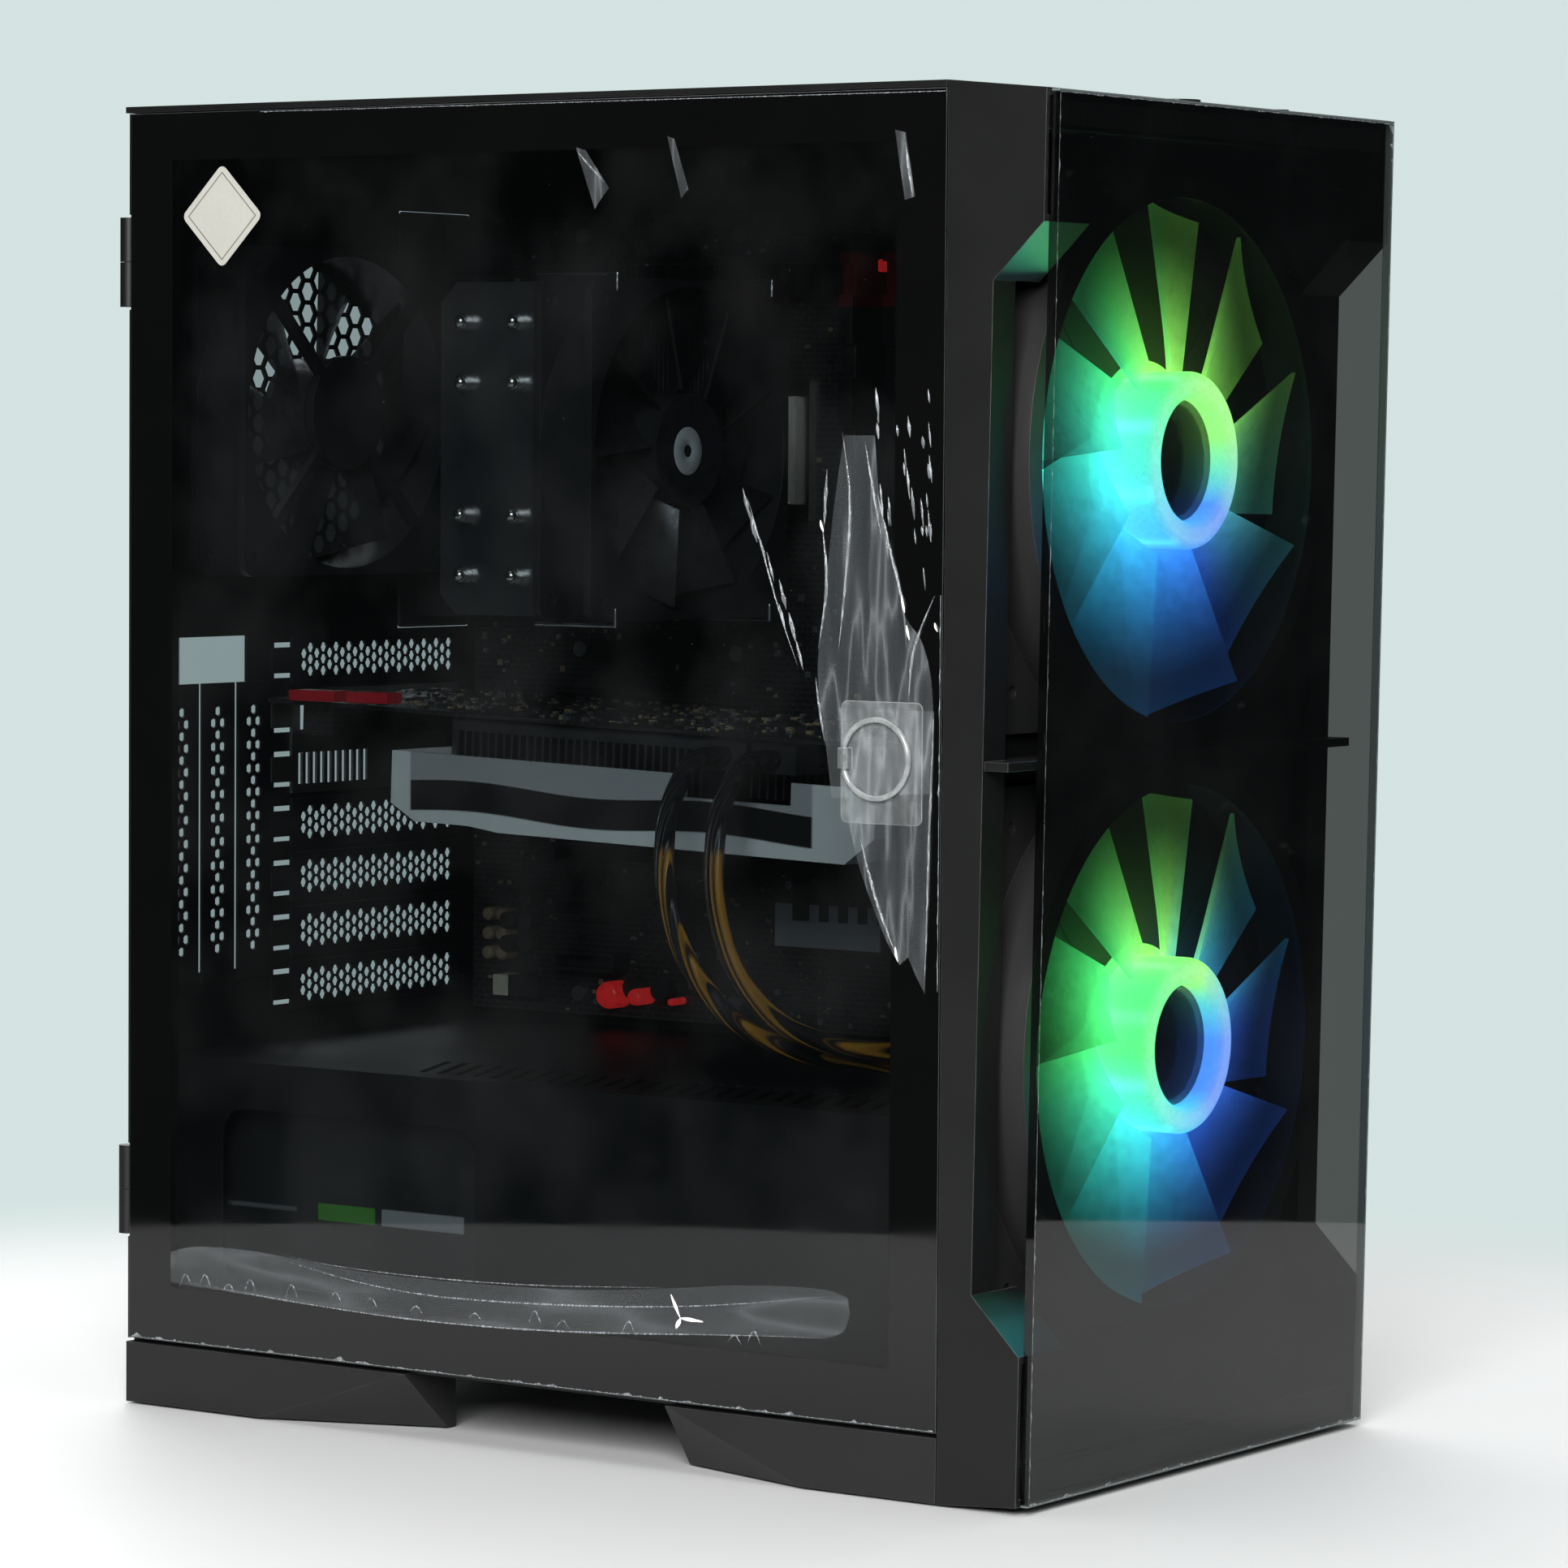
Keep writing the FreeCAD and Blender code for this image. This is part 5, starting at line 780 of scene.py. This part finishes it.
def crease(bm, line, width, out=1.0, count=24):
    """A raised fold of film along a line of (y, z) on the door, thin at both ends."""
    places = along([(0, *p) for p in line], count)
    last = None
    for i, p in enumerate(places):
        share = math.sin(math.pi * (i + 0.3) / (count - 0.4))
        wide = width * share * (0.7 + 0.5 * noise.noise(Vector((p.y, p.z, 1.0)) * 0.35))
        spot = off_door(p.y, p.z, FILM_LIFT)
        side = Vector((0, wide / 2, 0)) * MM
        if abs(places[-1].y - places[0].y) > abs(places[-1].z - places[0].z):
            side = Vector((0, 0, wide / 2)) * MM
        top = spot - Vector((out * share * MM, 0, 0))
        ring = [bm.verts.new(v) for v in (spot - side, top, spot + side)]
        if last:
            bm.faces.new((last[0], last[1], ring[1], ring[0]))
            bm.faces.new((last[1], last[2], ring[2], ring[1]))
        last = ring


BAND_LOW = [(-20, 46), (-52, 44.6), (-79, 43.3), (-104, 43), (-134, 42), (-162, 42.7), (-198, 43.7),
            (-232, 46.9), (-279, 50.5), (-306, 51.5), (-313, 55)]
BAND_MIDDLE = [(-20, 51), (-45, 51), (-79, 50), (-104, 49), (-134, 48), (-162, 48.5), (-198, 50), (-232, 53),
               (-279, 57), (-308, 60), (-315, 61)]
BAND_HIGH = [(-20, 57), (-33, 60.5), (-63, 60.5), (-97, 57.4), (-134, 56.8), (-170, 57.6), (-205, 59),
             (-239, 62.6), (-273, 67.2), (-306, 68.6), (-314, 66)]
VEIL_REAR = [(-310, 352), (-306, 330), (-304, 313), (-302, 292), (-299, 273), (-303, 254), (-306, 232)]
VEIL_FRONT = [(-322, 352), (-324, 330), (-329, 311), (-334, 292), (-342, 285), (-346.5, 266), (-345, 235)]
LOBE_REAR = [(-308, 262), (-310, 240), (-314, 218), (-321, 200), (-329, 184), (-333.5, 178)]
LOBE_MIDDLE = [(-329, 262), (-331, 240), (-331, 218), (-333, 200), (-336, 186), (-337, 181)]
LOBE_FRONT = [(-346, 262), (-346, 240), (-344, 218), (-344, 200), (-343.8, 180), (-343.5, 169)]

bm = bmesh.new()
film(bm, VEIL_REAR, VEIL_FRONT, 60, 26, 1.5, seed=1.0)
film(bm, LOBE_REAR, LOBE_MIDDLE, 40, 12, 1.2, seed=2.0)
film(bm, LOBE_MIDDLE, LOBE_FRONT, 40, 10, 1.2, seed=3.0)
film(bm, [(-199, 449), (-207, 428)], [(-203, 448), (-213, 435)], 10, 4, 0.8, seed=5.0)
film(bm, [(-237, 452), (-243, 431)], [(-240, 451), (-246, 434)], 10, 4, 0.6, seed=6.0)
film(bm, [(-329, 452), (-333, 429)], [(-333, 451), (-337, 430)], 12, 4, 1.0, seed=7.0)
piece("door_film_veil", bm, FILM, "door", "clear_plastic", smooth=True)

bm = bmesh.new()
film(bm, BAND_LOW, BAND_MIDDLE, 140, 8, 0.6, seed=8.0)
film(bm, BAND_MIDDLE, BAND_HIGH, 140, 10, 1.1, seed=9.0)
piece("door_film_band", bm, FILM_BAND, "door", "clear_plastic", smooth=True)

# large folds of the film: a line of (y, z) and a width
FOLDS = (([(-301, 324), (-304, 303), (-300, 281)], 1.2),
         ([(-323, 333), (-328, 316), (-334, 296), (-335, 282)], 1.4),
         ([(-346, 300), (-342, 292), (-337, 280), (-336, 264)], 1.0),
         ([(-317, 220), (-324, 198), (-332, 181)], 1.6),
         ([(-346, 262), (-345, 232), (-344, 190), (-343, 171)], 1.0),
         ([(-303, 341), (-302, 322)], 2.2),
         ([(-309, 353), (-313, 330), (-311, 305), (-308, 280)], 1.3),
         ([(-318, 350), (-322, 332), (-325, 318)], 1.0),
         ([(-333, 448), (-336, 430)], 1.4),
         ([(-199, 448), (-211, 437)], 0.8),
         ([(-299, 272), (-303, 250)], 0.9))
FRONT_FLECKS = ((-269, 329), (-272, 321), (-276, 313), (-279, 308),
                (-284, 299), (-288, 288), (-291, 279), (-284, 291))
BAND_PUCKERS = (-27, -36, -47, -57, -76, -96, -112, -132, -158, -184, -196, -224, -268, -276)

dice = random.Random(11)
bm = bmesh.new()
for line, width in FOLDS:
    crease(bm, line, width)
for _ in range(26):
    y, z = dice.uniform(-345, -322), dice.uniform(308, 368)
    length = dice.uniform(3, 11)
    crease(bm, [(y, z), (y - 0.12 * length, z - length)], dice.uniform(0.8, 1.9), 0.5, 8)
for y, z in FRONT_FLECKS:
    crease(bm, [(y, z + 5), (y - 3, z - 5)], dice.uniform(1.2, 2.4), 0.5, 10)
crease(bm, [(-271, 331), (-278, 311), (-285, 291), (-292, 275)], 0.8, 0.5)
crease(bm, [(-22, 47), (-80, 43.5), (-134, 42), (-198, 43.8), (-280, 50.5), (-312, 52)], 0.8, 0.5, 80)
crease(bm, [(-60, 60), (-120, 51), (-180, 52), (-250, 57), (-313, 67)], 0.7, 0.5, 80)
crease(bm, [(-64, 61), (-97, 57.6), (-170, 57.8), (-239, 63)], 0.5, 0.4, 60)
for y in BAND_PUCKERS:
    tall = dice.uniform(3, 7.5)
    base = 44.5 + 0.02 * max(0.0, -y - 180)
    crease(bm, [(y - 3, base), (y, base + tall), (y + 3, base + 0.4)], 0.7, 0.4, 12)
piece("door_film_folds", bm, CREASE, "door", "clear_plastic", smooth=True)


def sparkle_material():
    """Folds of film with a painted glint: they glow as if they caught the light."""
    look = Look("film_glint")
    fine = look.noise(2 * MM, 2.0)
    # painted glint: emission on the folds
    return look.painted(look.mix(fine, grey(0.85), grey(0.98)), 0.12, Emission_Color=(1.0, 0.93, 0.78),
                        Emission_Strength=look.spread(fine, 0.35, 0.8))


bm = bmesh.new()
for tip in ((-241.5, 61.0), (-243.8, 49.5), (-255.0, 52.8)):
    crease(bm, [(-245.5, 53.2), tip], 2.0, 0.9, 9)
for y, z, tall in ((-300.5, 324, 4), (-333, 300, 6), (-335, 290, 5), (-346, 291, 3), (-331.5, 184, 5)):
    crease(bm, [(y, z), (y - 1.2, z - tall)], 0.8, 1.0, 8)
piece("door_film_glints", bm, sparkle_material(), "door", "clear_plastic", smooth=True)

# film left in the seams round the two glasses
front_tree = tree_of("front_glass")


def front_skin(x, z):
    """The outer face of the front glass at that width and height."""
    hit = front_tree.ray_cast(at(x, -500, z), Vector((0, 1, 0)))[0]
    return hit - Vector((0, FRONT_SEAM_LIFT, 0)) if hit else None


def torn_edge(bm, start, end, place, inward, seed, most, step=1.2):
    """A ragged rim of film from start to end, which are pairs that place() turns into points."""
    count = int((Vector(end) - Vector(start)).length / step)
    last = None
    for i in range(count + 1):
        p = Vector(start).lerp(Vector(end), i / count)
        tear = noise.noise(Vector((i * 0.23, seed, 0))) + 0.5 * noise.noise(Vector((i * 0.8, seed, 3)))
        width = 0.22 + most * max(0.0, tear - 0.05)
        outer, inner = place(*p), place(*(p + Vector(inward) * width))
        if outer is None or inner is None:
            last = None
            continue
        pair = (bm.verts.new(outer), bm.verts.new(inner))
        if last:
            bm.faces.new((last[0], last[1], pair[1], pair[0]))
        last = pair


def door_skin(y, z):
    return off_door(y, z, SEAM_LIFT)


tip = (door_low.y - door_high.y) / MM           # the door's front edge
foot, head = door_low.z / MM, door_high.z / MM
bm = bmesh.new()
torn_edge(bm, (-1, foot + 0.4), (tip + 1, foot + 0.4), door_skin, (0, 1), 1.0, 2.4)
torn_edge(bm, (tip + 0.6, 170), (tip + 0.6, 300), door_skin, (1, 0), 2.0, 0.8)
torn_edge(bm, (tip + 0.4, head - 1), (-60, head - 0.5), door_skin, (0, -1), 3.0, 0.3)
piece("door_film_seam", bm, CREASE, "door", "clear_plastic")

left, right = case_x(glass_low.x) + 0.5, case_x(glass_high.x) - 0.5
foot, head = glass_low.z / MM + 0.5, glass_high.z / MM - 0.8
bm = bmesh.new()
torn_edge(bm, (left, foot), (left, head), front_skin, (1, 0), 4.0, 1.1)
torn_edge(bm, (left, foot), (right, foot), front_skin, (0, 1), 5.0, 1.6)
torn_edge(bm, (right, foot), (right, head), front_skin, (-1, 0), 6.0, 0.5)
torn_edge(bm, (left, head), (right, head), front_skin, (0, -1), 7.0, 0.6)
torn_edge(bm, (right, head - 16), (right, head - 1), front_skin, (-1, 0.4), 8.0, 7.0, 0.7)
piece("front_film_seam", bm, CREASE, "front", "clear_plastic")


# ---------------- small parts on the boards
def plain(name, low, high, rough, metallic=0.0, size=3 * MM, glow=None, strength=0.0):
    """Two close shades of one colour, cloudy and finely grained."""
    look = Look(name)
    cloud = look.noise(size, 3.0, 0.6)
    lit = {}
    if glow:
        lit = {"Emission_Color": glow, "Emission_Strength": look.spread(cloud, strength * 0.7, strength)}
    return look.painted(look.mix(cloud, low, high), look.spread(cloud, rough - 0.06, rough + 0.08),
                        Metallic=metallic, Normal=look.bump(cloud, 0.04 * MM, 0.6), **lit)


CHIP = plain("chip_black", grey(0.012), grey(0.03), 0.42)
SOLDER = plain("solder_silver", grey(0.42), grey(0.7), 0.26, metallic=0.9, size=1 * MM)
TAN = plain("ceramic_tan", (0.20, 0.14, 0.08), (0.34, 0.25, 0.15), 0.5, size=1 * MM)
RED = plain("red_plastic", (0.42, 0.010, 0.016), (0.62, 0.020, 0.030), 0.38)
RED_LAMP = plain("red_lamp", (0.5, 0.01, 0.01), (0.7, 0.03, 0.03), 0.3, glow=(1.0, 0.03, 0.03), strength=0.55)
CREAM = plain("cream_plastic", (0.52, 0.47, 0.34), (0.64, 0.58, 0.44), 0.5)
WHITE = plain("white_plastic", grey(0.52), grey(0.62), 0.35)
BLANK_LABEL = plain("blank_paper", (0.36, 0.38, 0.40), (0.46, 0.48, 0.50), 0.5, size=6 * MM)
# small parts: material, slot, how common, and the widest and tallest in millimetres
PARTS = {"chip": (CHIP, "board_plastic", 5, 7.0, 1.6),
         "solder": (SOLDER, "nickel_pipe", 4, 2.4, 1.1),
         "tan": (TAN, "board_plastic", 3, 2.4, 1.1)}
APART = 0.72            # least distance between two parts, as a share of their widths
LEVEL = 1.2 * MM        # most that the board may fall away under a part's corners
CLEARANCE = 0.5 * MM    # least height free above a part's place
SUNK = 0.3 * MM         # how far a part reaches into the board


def scatter(name, target, others, place, direction, up_axis, count, seed):
    """Chips, capacitors and resistors on one face of a board, kept off all else that stands on it."""
    dice = random.Random(seed)
    board, rest = tree_of(target), tree_of(*others)
    direction = Vector(direction)
    meshes = {kind: bmesh.new() for kind in PARTS}
    common = [part[2] for part in PARTS.values()]
    taken = []
    for _ in range(count):
        start = place(dice)
        hit, normal, _, reach = board.ray_cast(start, direction)
        if hit is None or normal.dot(direction) > -0.9:
            continue
        kind = dice.choices(list(PARTS), common)[0]
        widest, tallest = PARTS[kind][3:]
        wide = dice.uniform(1.0, widest) * MM
        deep = wide * dice.uniform(0.5, 1.3)
        tall = dice.uniform(0.5, tallest) * MM
        if any((hit - other).length < (wide + size) * APART for other, size in taken):
            continue
        clear = True
        for a, b in ((0, 0), (1, 1), (1, -1), (-1, 1), (-1, -1)):
            shift = Vector((a * wide, b * deep, 0)) if up_axis == 2 else Vector((0, a * wide, b * deep))
            blocked = rest.ray_cast(start + shift, direction)
            under = board.ray_cast(start + shift, direction)
            if under[0] is None or abs(under[3] - reach) > LEVEL:
                clear = False
            if blocked[0] and blocked[3] < reach + CLEARANCE:
                clear = False
        if not clear:
            continue
        taken.append((hit, wide))
        half = Vector((wide / 2, deep / 2, 0)) if up_axis == 2 else Vector((0, wide / 2, deep / 2))
        low, high = hit - half + direction * SUNK, hit + half - direction * tall
        low, high = Vector(map(min, low, high)), Vector(map(max, low, high))
        add_block(meshes[kind], low, high, 0.12 * MM)
    for kind, bm in meshes.items():
        material, slot = PARTS[kind][:2]
        piece(name + "_" + kind, bm, material, "case", slot)


def over_card(dice):
    return Vector((dice.uniform(card_low.x, card_high.x), dice.uniform(card_low.y, card_high.y),
                   card_high.z + 30 * MM))


def beside_board(dice):
    return Vector((board_low.x - 2 * MM, dice.uniform(board_low.y, board_high.y),
                   dice.uniform(board_low.z, board_high.z)))


scatter("card_parts", "gpu_board", ("gpu_power_plugs", "gpu_bracket"), over_card, (0, 0, -1), 2, 900, 3)
scatter("board_bits", "motherboard",
        ("board_parts", "board_sockets", "board_heatsinks", "memory_modules", "cooler_base", "gpu_board",
         "screws"), beside_board, (1, 0, 0), 0, 1100, 5)


def blocks(name, material, slot, *places, bevel=0.4):
    """Bevelled boxes in the case, each from a low corner to a high one in at()'s millimetres."""
    bm = bmesh.new()
    for low, high in places:
        add_block(bm, at(*low), at(*high), bevel * MM)
    piece(name, bm, material, "case", slot)


card_tree = tree_of("gpu_board")
ABOVE_CARD = 300        # a height from which to look down on the card


def on_card(x, y, over):
    """Height of the sagging card's upper face at that place, plus over."""
    start = at(x, y, ABOVE_CARD)
    hit = card_tree.ray_cast(start, Vector((0, 0, -1)))[0]
    return (hit.z / MM if hit else card_high.z / MM) + over


covers = []
for far, near in ((-38.7, -17.5), (-63.5, -44.5)):
    level = on_card(-40, (far + near) / 2, 0)
    covers.append(((-46, far, level - 0.4), (-37, near, level + 3.6)))
blocks("card_red_covers", RED, "board_plastic", *covers)

board_face = case_x(board_low.x)
# (y, z, radius, height) of each round part
LIT_BUTTONS = ((-75, 139, 5.2, 10.5), (-88, 139, 3.2, 10.5), (-104, 138, 1.4, 9.0))
AUDIO_CAPS = [(y, z, 2.6, 8.0) for z in (152, 159.5, 167) for y in (-16, -22.5)]


def stub(bm, y, z, radius, tall):
    """A round part standing on the motherboard."""
    base = at(board_face + 0.2, y, z)
    r, h = radius * MM, tall * MM
    rounded = [(r, 0), (r, h * 0.8), (r * 0.9, h * 0.96), (r * 0.55, h)]
    rings = add_turned(bm, rounded, base, (-1, 0, 0), sides=28)
    bm.faces.new(rings[-1])


for name, material, slot, spots in (("board_lit_buttons", RED_LAMP, "button_plastic", LIT_BUTTONS),
                                    ("board_audio_caps", TAN, "dark_aluminium", AUDIO_CAPS)):
    bm = bmesh.new()
    for spot in spots:
        stub(bm, *spot)
    piece(name, bm, material, "case", slot, smooth=True)
blocks("board_cream_socket", CREAM, "board_plastic",
       ((board_face - 9, -29, 136), (board_face + 0.2, -20, 144)))
blocks("board_lamp", RED_LAMP, "button_plastic", ((56, -213.5, 411.5), (60, -208.5, 416)), bevel=0.6)
blocks("board_blank_label", BLANK_LABEL, "paper_label",
       ((board_face - 7.2, -198, 162), (board_face - 6.8, -151, 178)), bevel=0.05)
blocks("board_label_block", CHIP, "board_plastic",
       ((board_face - 6.8, -199, 161), (board_face + 0.2, -150, 179)))

# dark inner faces of the rear sockets, just inside the shield
shield_low, shield_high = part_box("io_shield")
bm = bmesh.new()
add_block(bm, (shield_low.x + 1 * MM, shield_low.y - 0.5 * MM, shield_low.z + 1 * MM),
          (shield_high.x - 1 * MM, shield_low.y - 0.1 * MM, shield_high.z - 1 * MM))
piece("rear_socket_faces", bm, CHIP, "case", "board_plastic")

# white washer on the hub of the cooler's fan
hub_low, hub_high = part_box("cooler_fan_impeller")
bm = bmesh.new()
hub = Vector(((hub_low.x + hub_high.x) / 2, hub_low.y - 0.15 * MM, (hub_low.z + hub_high.z) / 2))
rim = [(2.2 * MM, 0.0), (2.4 * MM, 0.14 * MM), (8.3 * MM, 0.14 * MM), (8.5 * MM, 0.0)]
add_turned(bm, rim, hub, (0, -1, 0))
piece("cooler_hub_disc", bm, WHITE, "cooler_fan", "paper_label", smooth=True)


# ---------------- floor, light and camera
BACKDROP = (0.66, 0.77, 0.755)
ROOM = (0.035, 0.040, 0.042)
CAMERA_PLACE = (-1.7352, -1.2165, 0.3500)
CAMERA_RIGHT = Vector((0.5657, -0.8246, 0.0074))
CAMERA_DOWN = Vector((-0.0384, -0.0353, -0.9986))
CAMERA_AHEAD = Vector((0.8237, 0.5646, -0.0516))


def stage_sheet():
    """A round floor that fades into the backdrop towards its rim."""
    bm = bmesh.new()
    rings, sides, radius = 20, 96, 0.70
    centre = bm.verts.new((0, 0, 0))
    last = None
    for r in range(1, rings + 1):
        ring = [bm.verts.new((radius * r / rings * math.cos(math.tau * i / sides),
                              radius * r / rings * math.sin(math.tau * i / sides), 0))
                for i in range(sides)]
        for i in range(sides):
            j = (i + 1) % sides
            bm.faces.new((centre, ring[i], ring[j]) if last is None else (last[i], ring[i], ring[j], last[j]))
        last = ring
    floor = add_mesh("floor", bm)
    look = Look("pale_floor")
    flat = look.principled(look.mix(look.noise(120 * MM), grey(0.62), grey(0.66)), 0.55)
    backdrop = look.add("ShaderNodeEmission")
    look.join(BACKDROP, backdrop.inputs["Color"])
    distance = look.add("ShaderNodeVectorMath", operation="LENGTH")
    look.join(look.place, distance.inputs[0])
    rim = look.scaled(distance.outputs["Value"], 0.38, 0.69, smooth=True)
    seen = look.add("ShaderNodeLightPath").outputs["Is Camera Ray"]
    shader = look.blend(look.times(rim, seen), flat, backdrop.outputs[0])
    floor.data.materials.append(look.done(shader))


def world():
    """Dim room, with the pale backdrop for the camera and on the far side of the object."""
    made = bpy.data.worlds.new("studio")
    bpy.context.scene.world = made
    made.use_nodes = True
    tree = made.node_tree
    tree.nodes.clear()
    add, link = tree.nodes.new, tree.links.new
    out = add("ShaderNodeOutputWorld")
    pale, room = add("ShaderNodeBackground"), add("ShaderNodeBackground")
    pale.inputs[0].default_value = (*BACKDROP, 1)
    room.inputs[0].default_value = (*ROOM, 1)
    mix = add("ShaderNodeMixShader")
    path = add("ShaderNodeLightPath")
    place = add("ShaderNodeTexCoord")
    dot = add("ShaderNodeVectorMath")
    dot.operation = "DOT_PRODUCT"
    link(place.outputs["Generated"], dot.inputs[0])
    dot.inputs[1].default_value = CAMERA_AHEAD
    near = add("ShaderNodeMapRange")
    link(dot.outputs["Value"], near.inputs[0])
    near.inputs[1].default_value, near.inputs[2].default_value = 0.80, 0.93
    most = add("ShaderNodeMath")
    most.operation = "MAXIMUM"
    link(path.outputs["Is Camera Ray"], most.inputs[0])
    link(near.outputs[0], most.inputs[1])
    link(most.outputs[0], mix.inputs[0])
    link(room.outputs[0], mix.inputs[1])
    link(pale.outputs[0], mix.inputs[2])
    link(mix.outputs[0], out.inputs[0])


def camera():
    data = bpy.data.cameras.new("camera")
    made = add_object("camera", data)
    data.sensor_width = 36.0
    data.lens = 136.2
    data.shift_x, data.shift_y = -0.0145, -0.0231
    data.clip_end = 50.0
    turn = Matrix((CAMERA_RIGHT, -CAMERA_DOWN, -CAMERA_AHEAD)).transposed()
    made.matrix_world = Matrix.Translation(CAMERA_PLACE) @ turn.to_4x4()
    bpy.context.scene.camera = made


def lamp(name, place, target, size, power):
    data = bpy.data.lights.new(name, "AREA")
    data.shape = "RECTANGLE"
    data.size = data.size_y = size
    data.energy = power
    made = add_object(name, data)
    made.location = place
    aim = Vector(target) - Vector(place)
    made.rotation_euler = aim.to_track_quat("-Z", "Y").to_euler()


stage_sheet()
world()
camera()
lamp("top_light", (0.3, 0.2, 2.3), (0, 0, 0.1), 2.6, 62)
lamp("near_light", (-1.9, -1.0, 1.1), (0, 0, 0.25), 1.1, 82)
lamp("rear_light", (1.6, 1.9, 1.5), (0, 0, 0.25), 1.6, 22)
bpy.context.scene.view_settings.view_transform = "Standard"
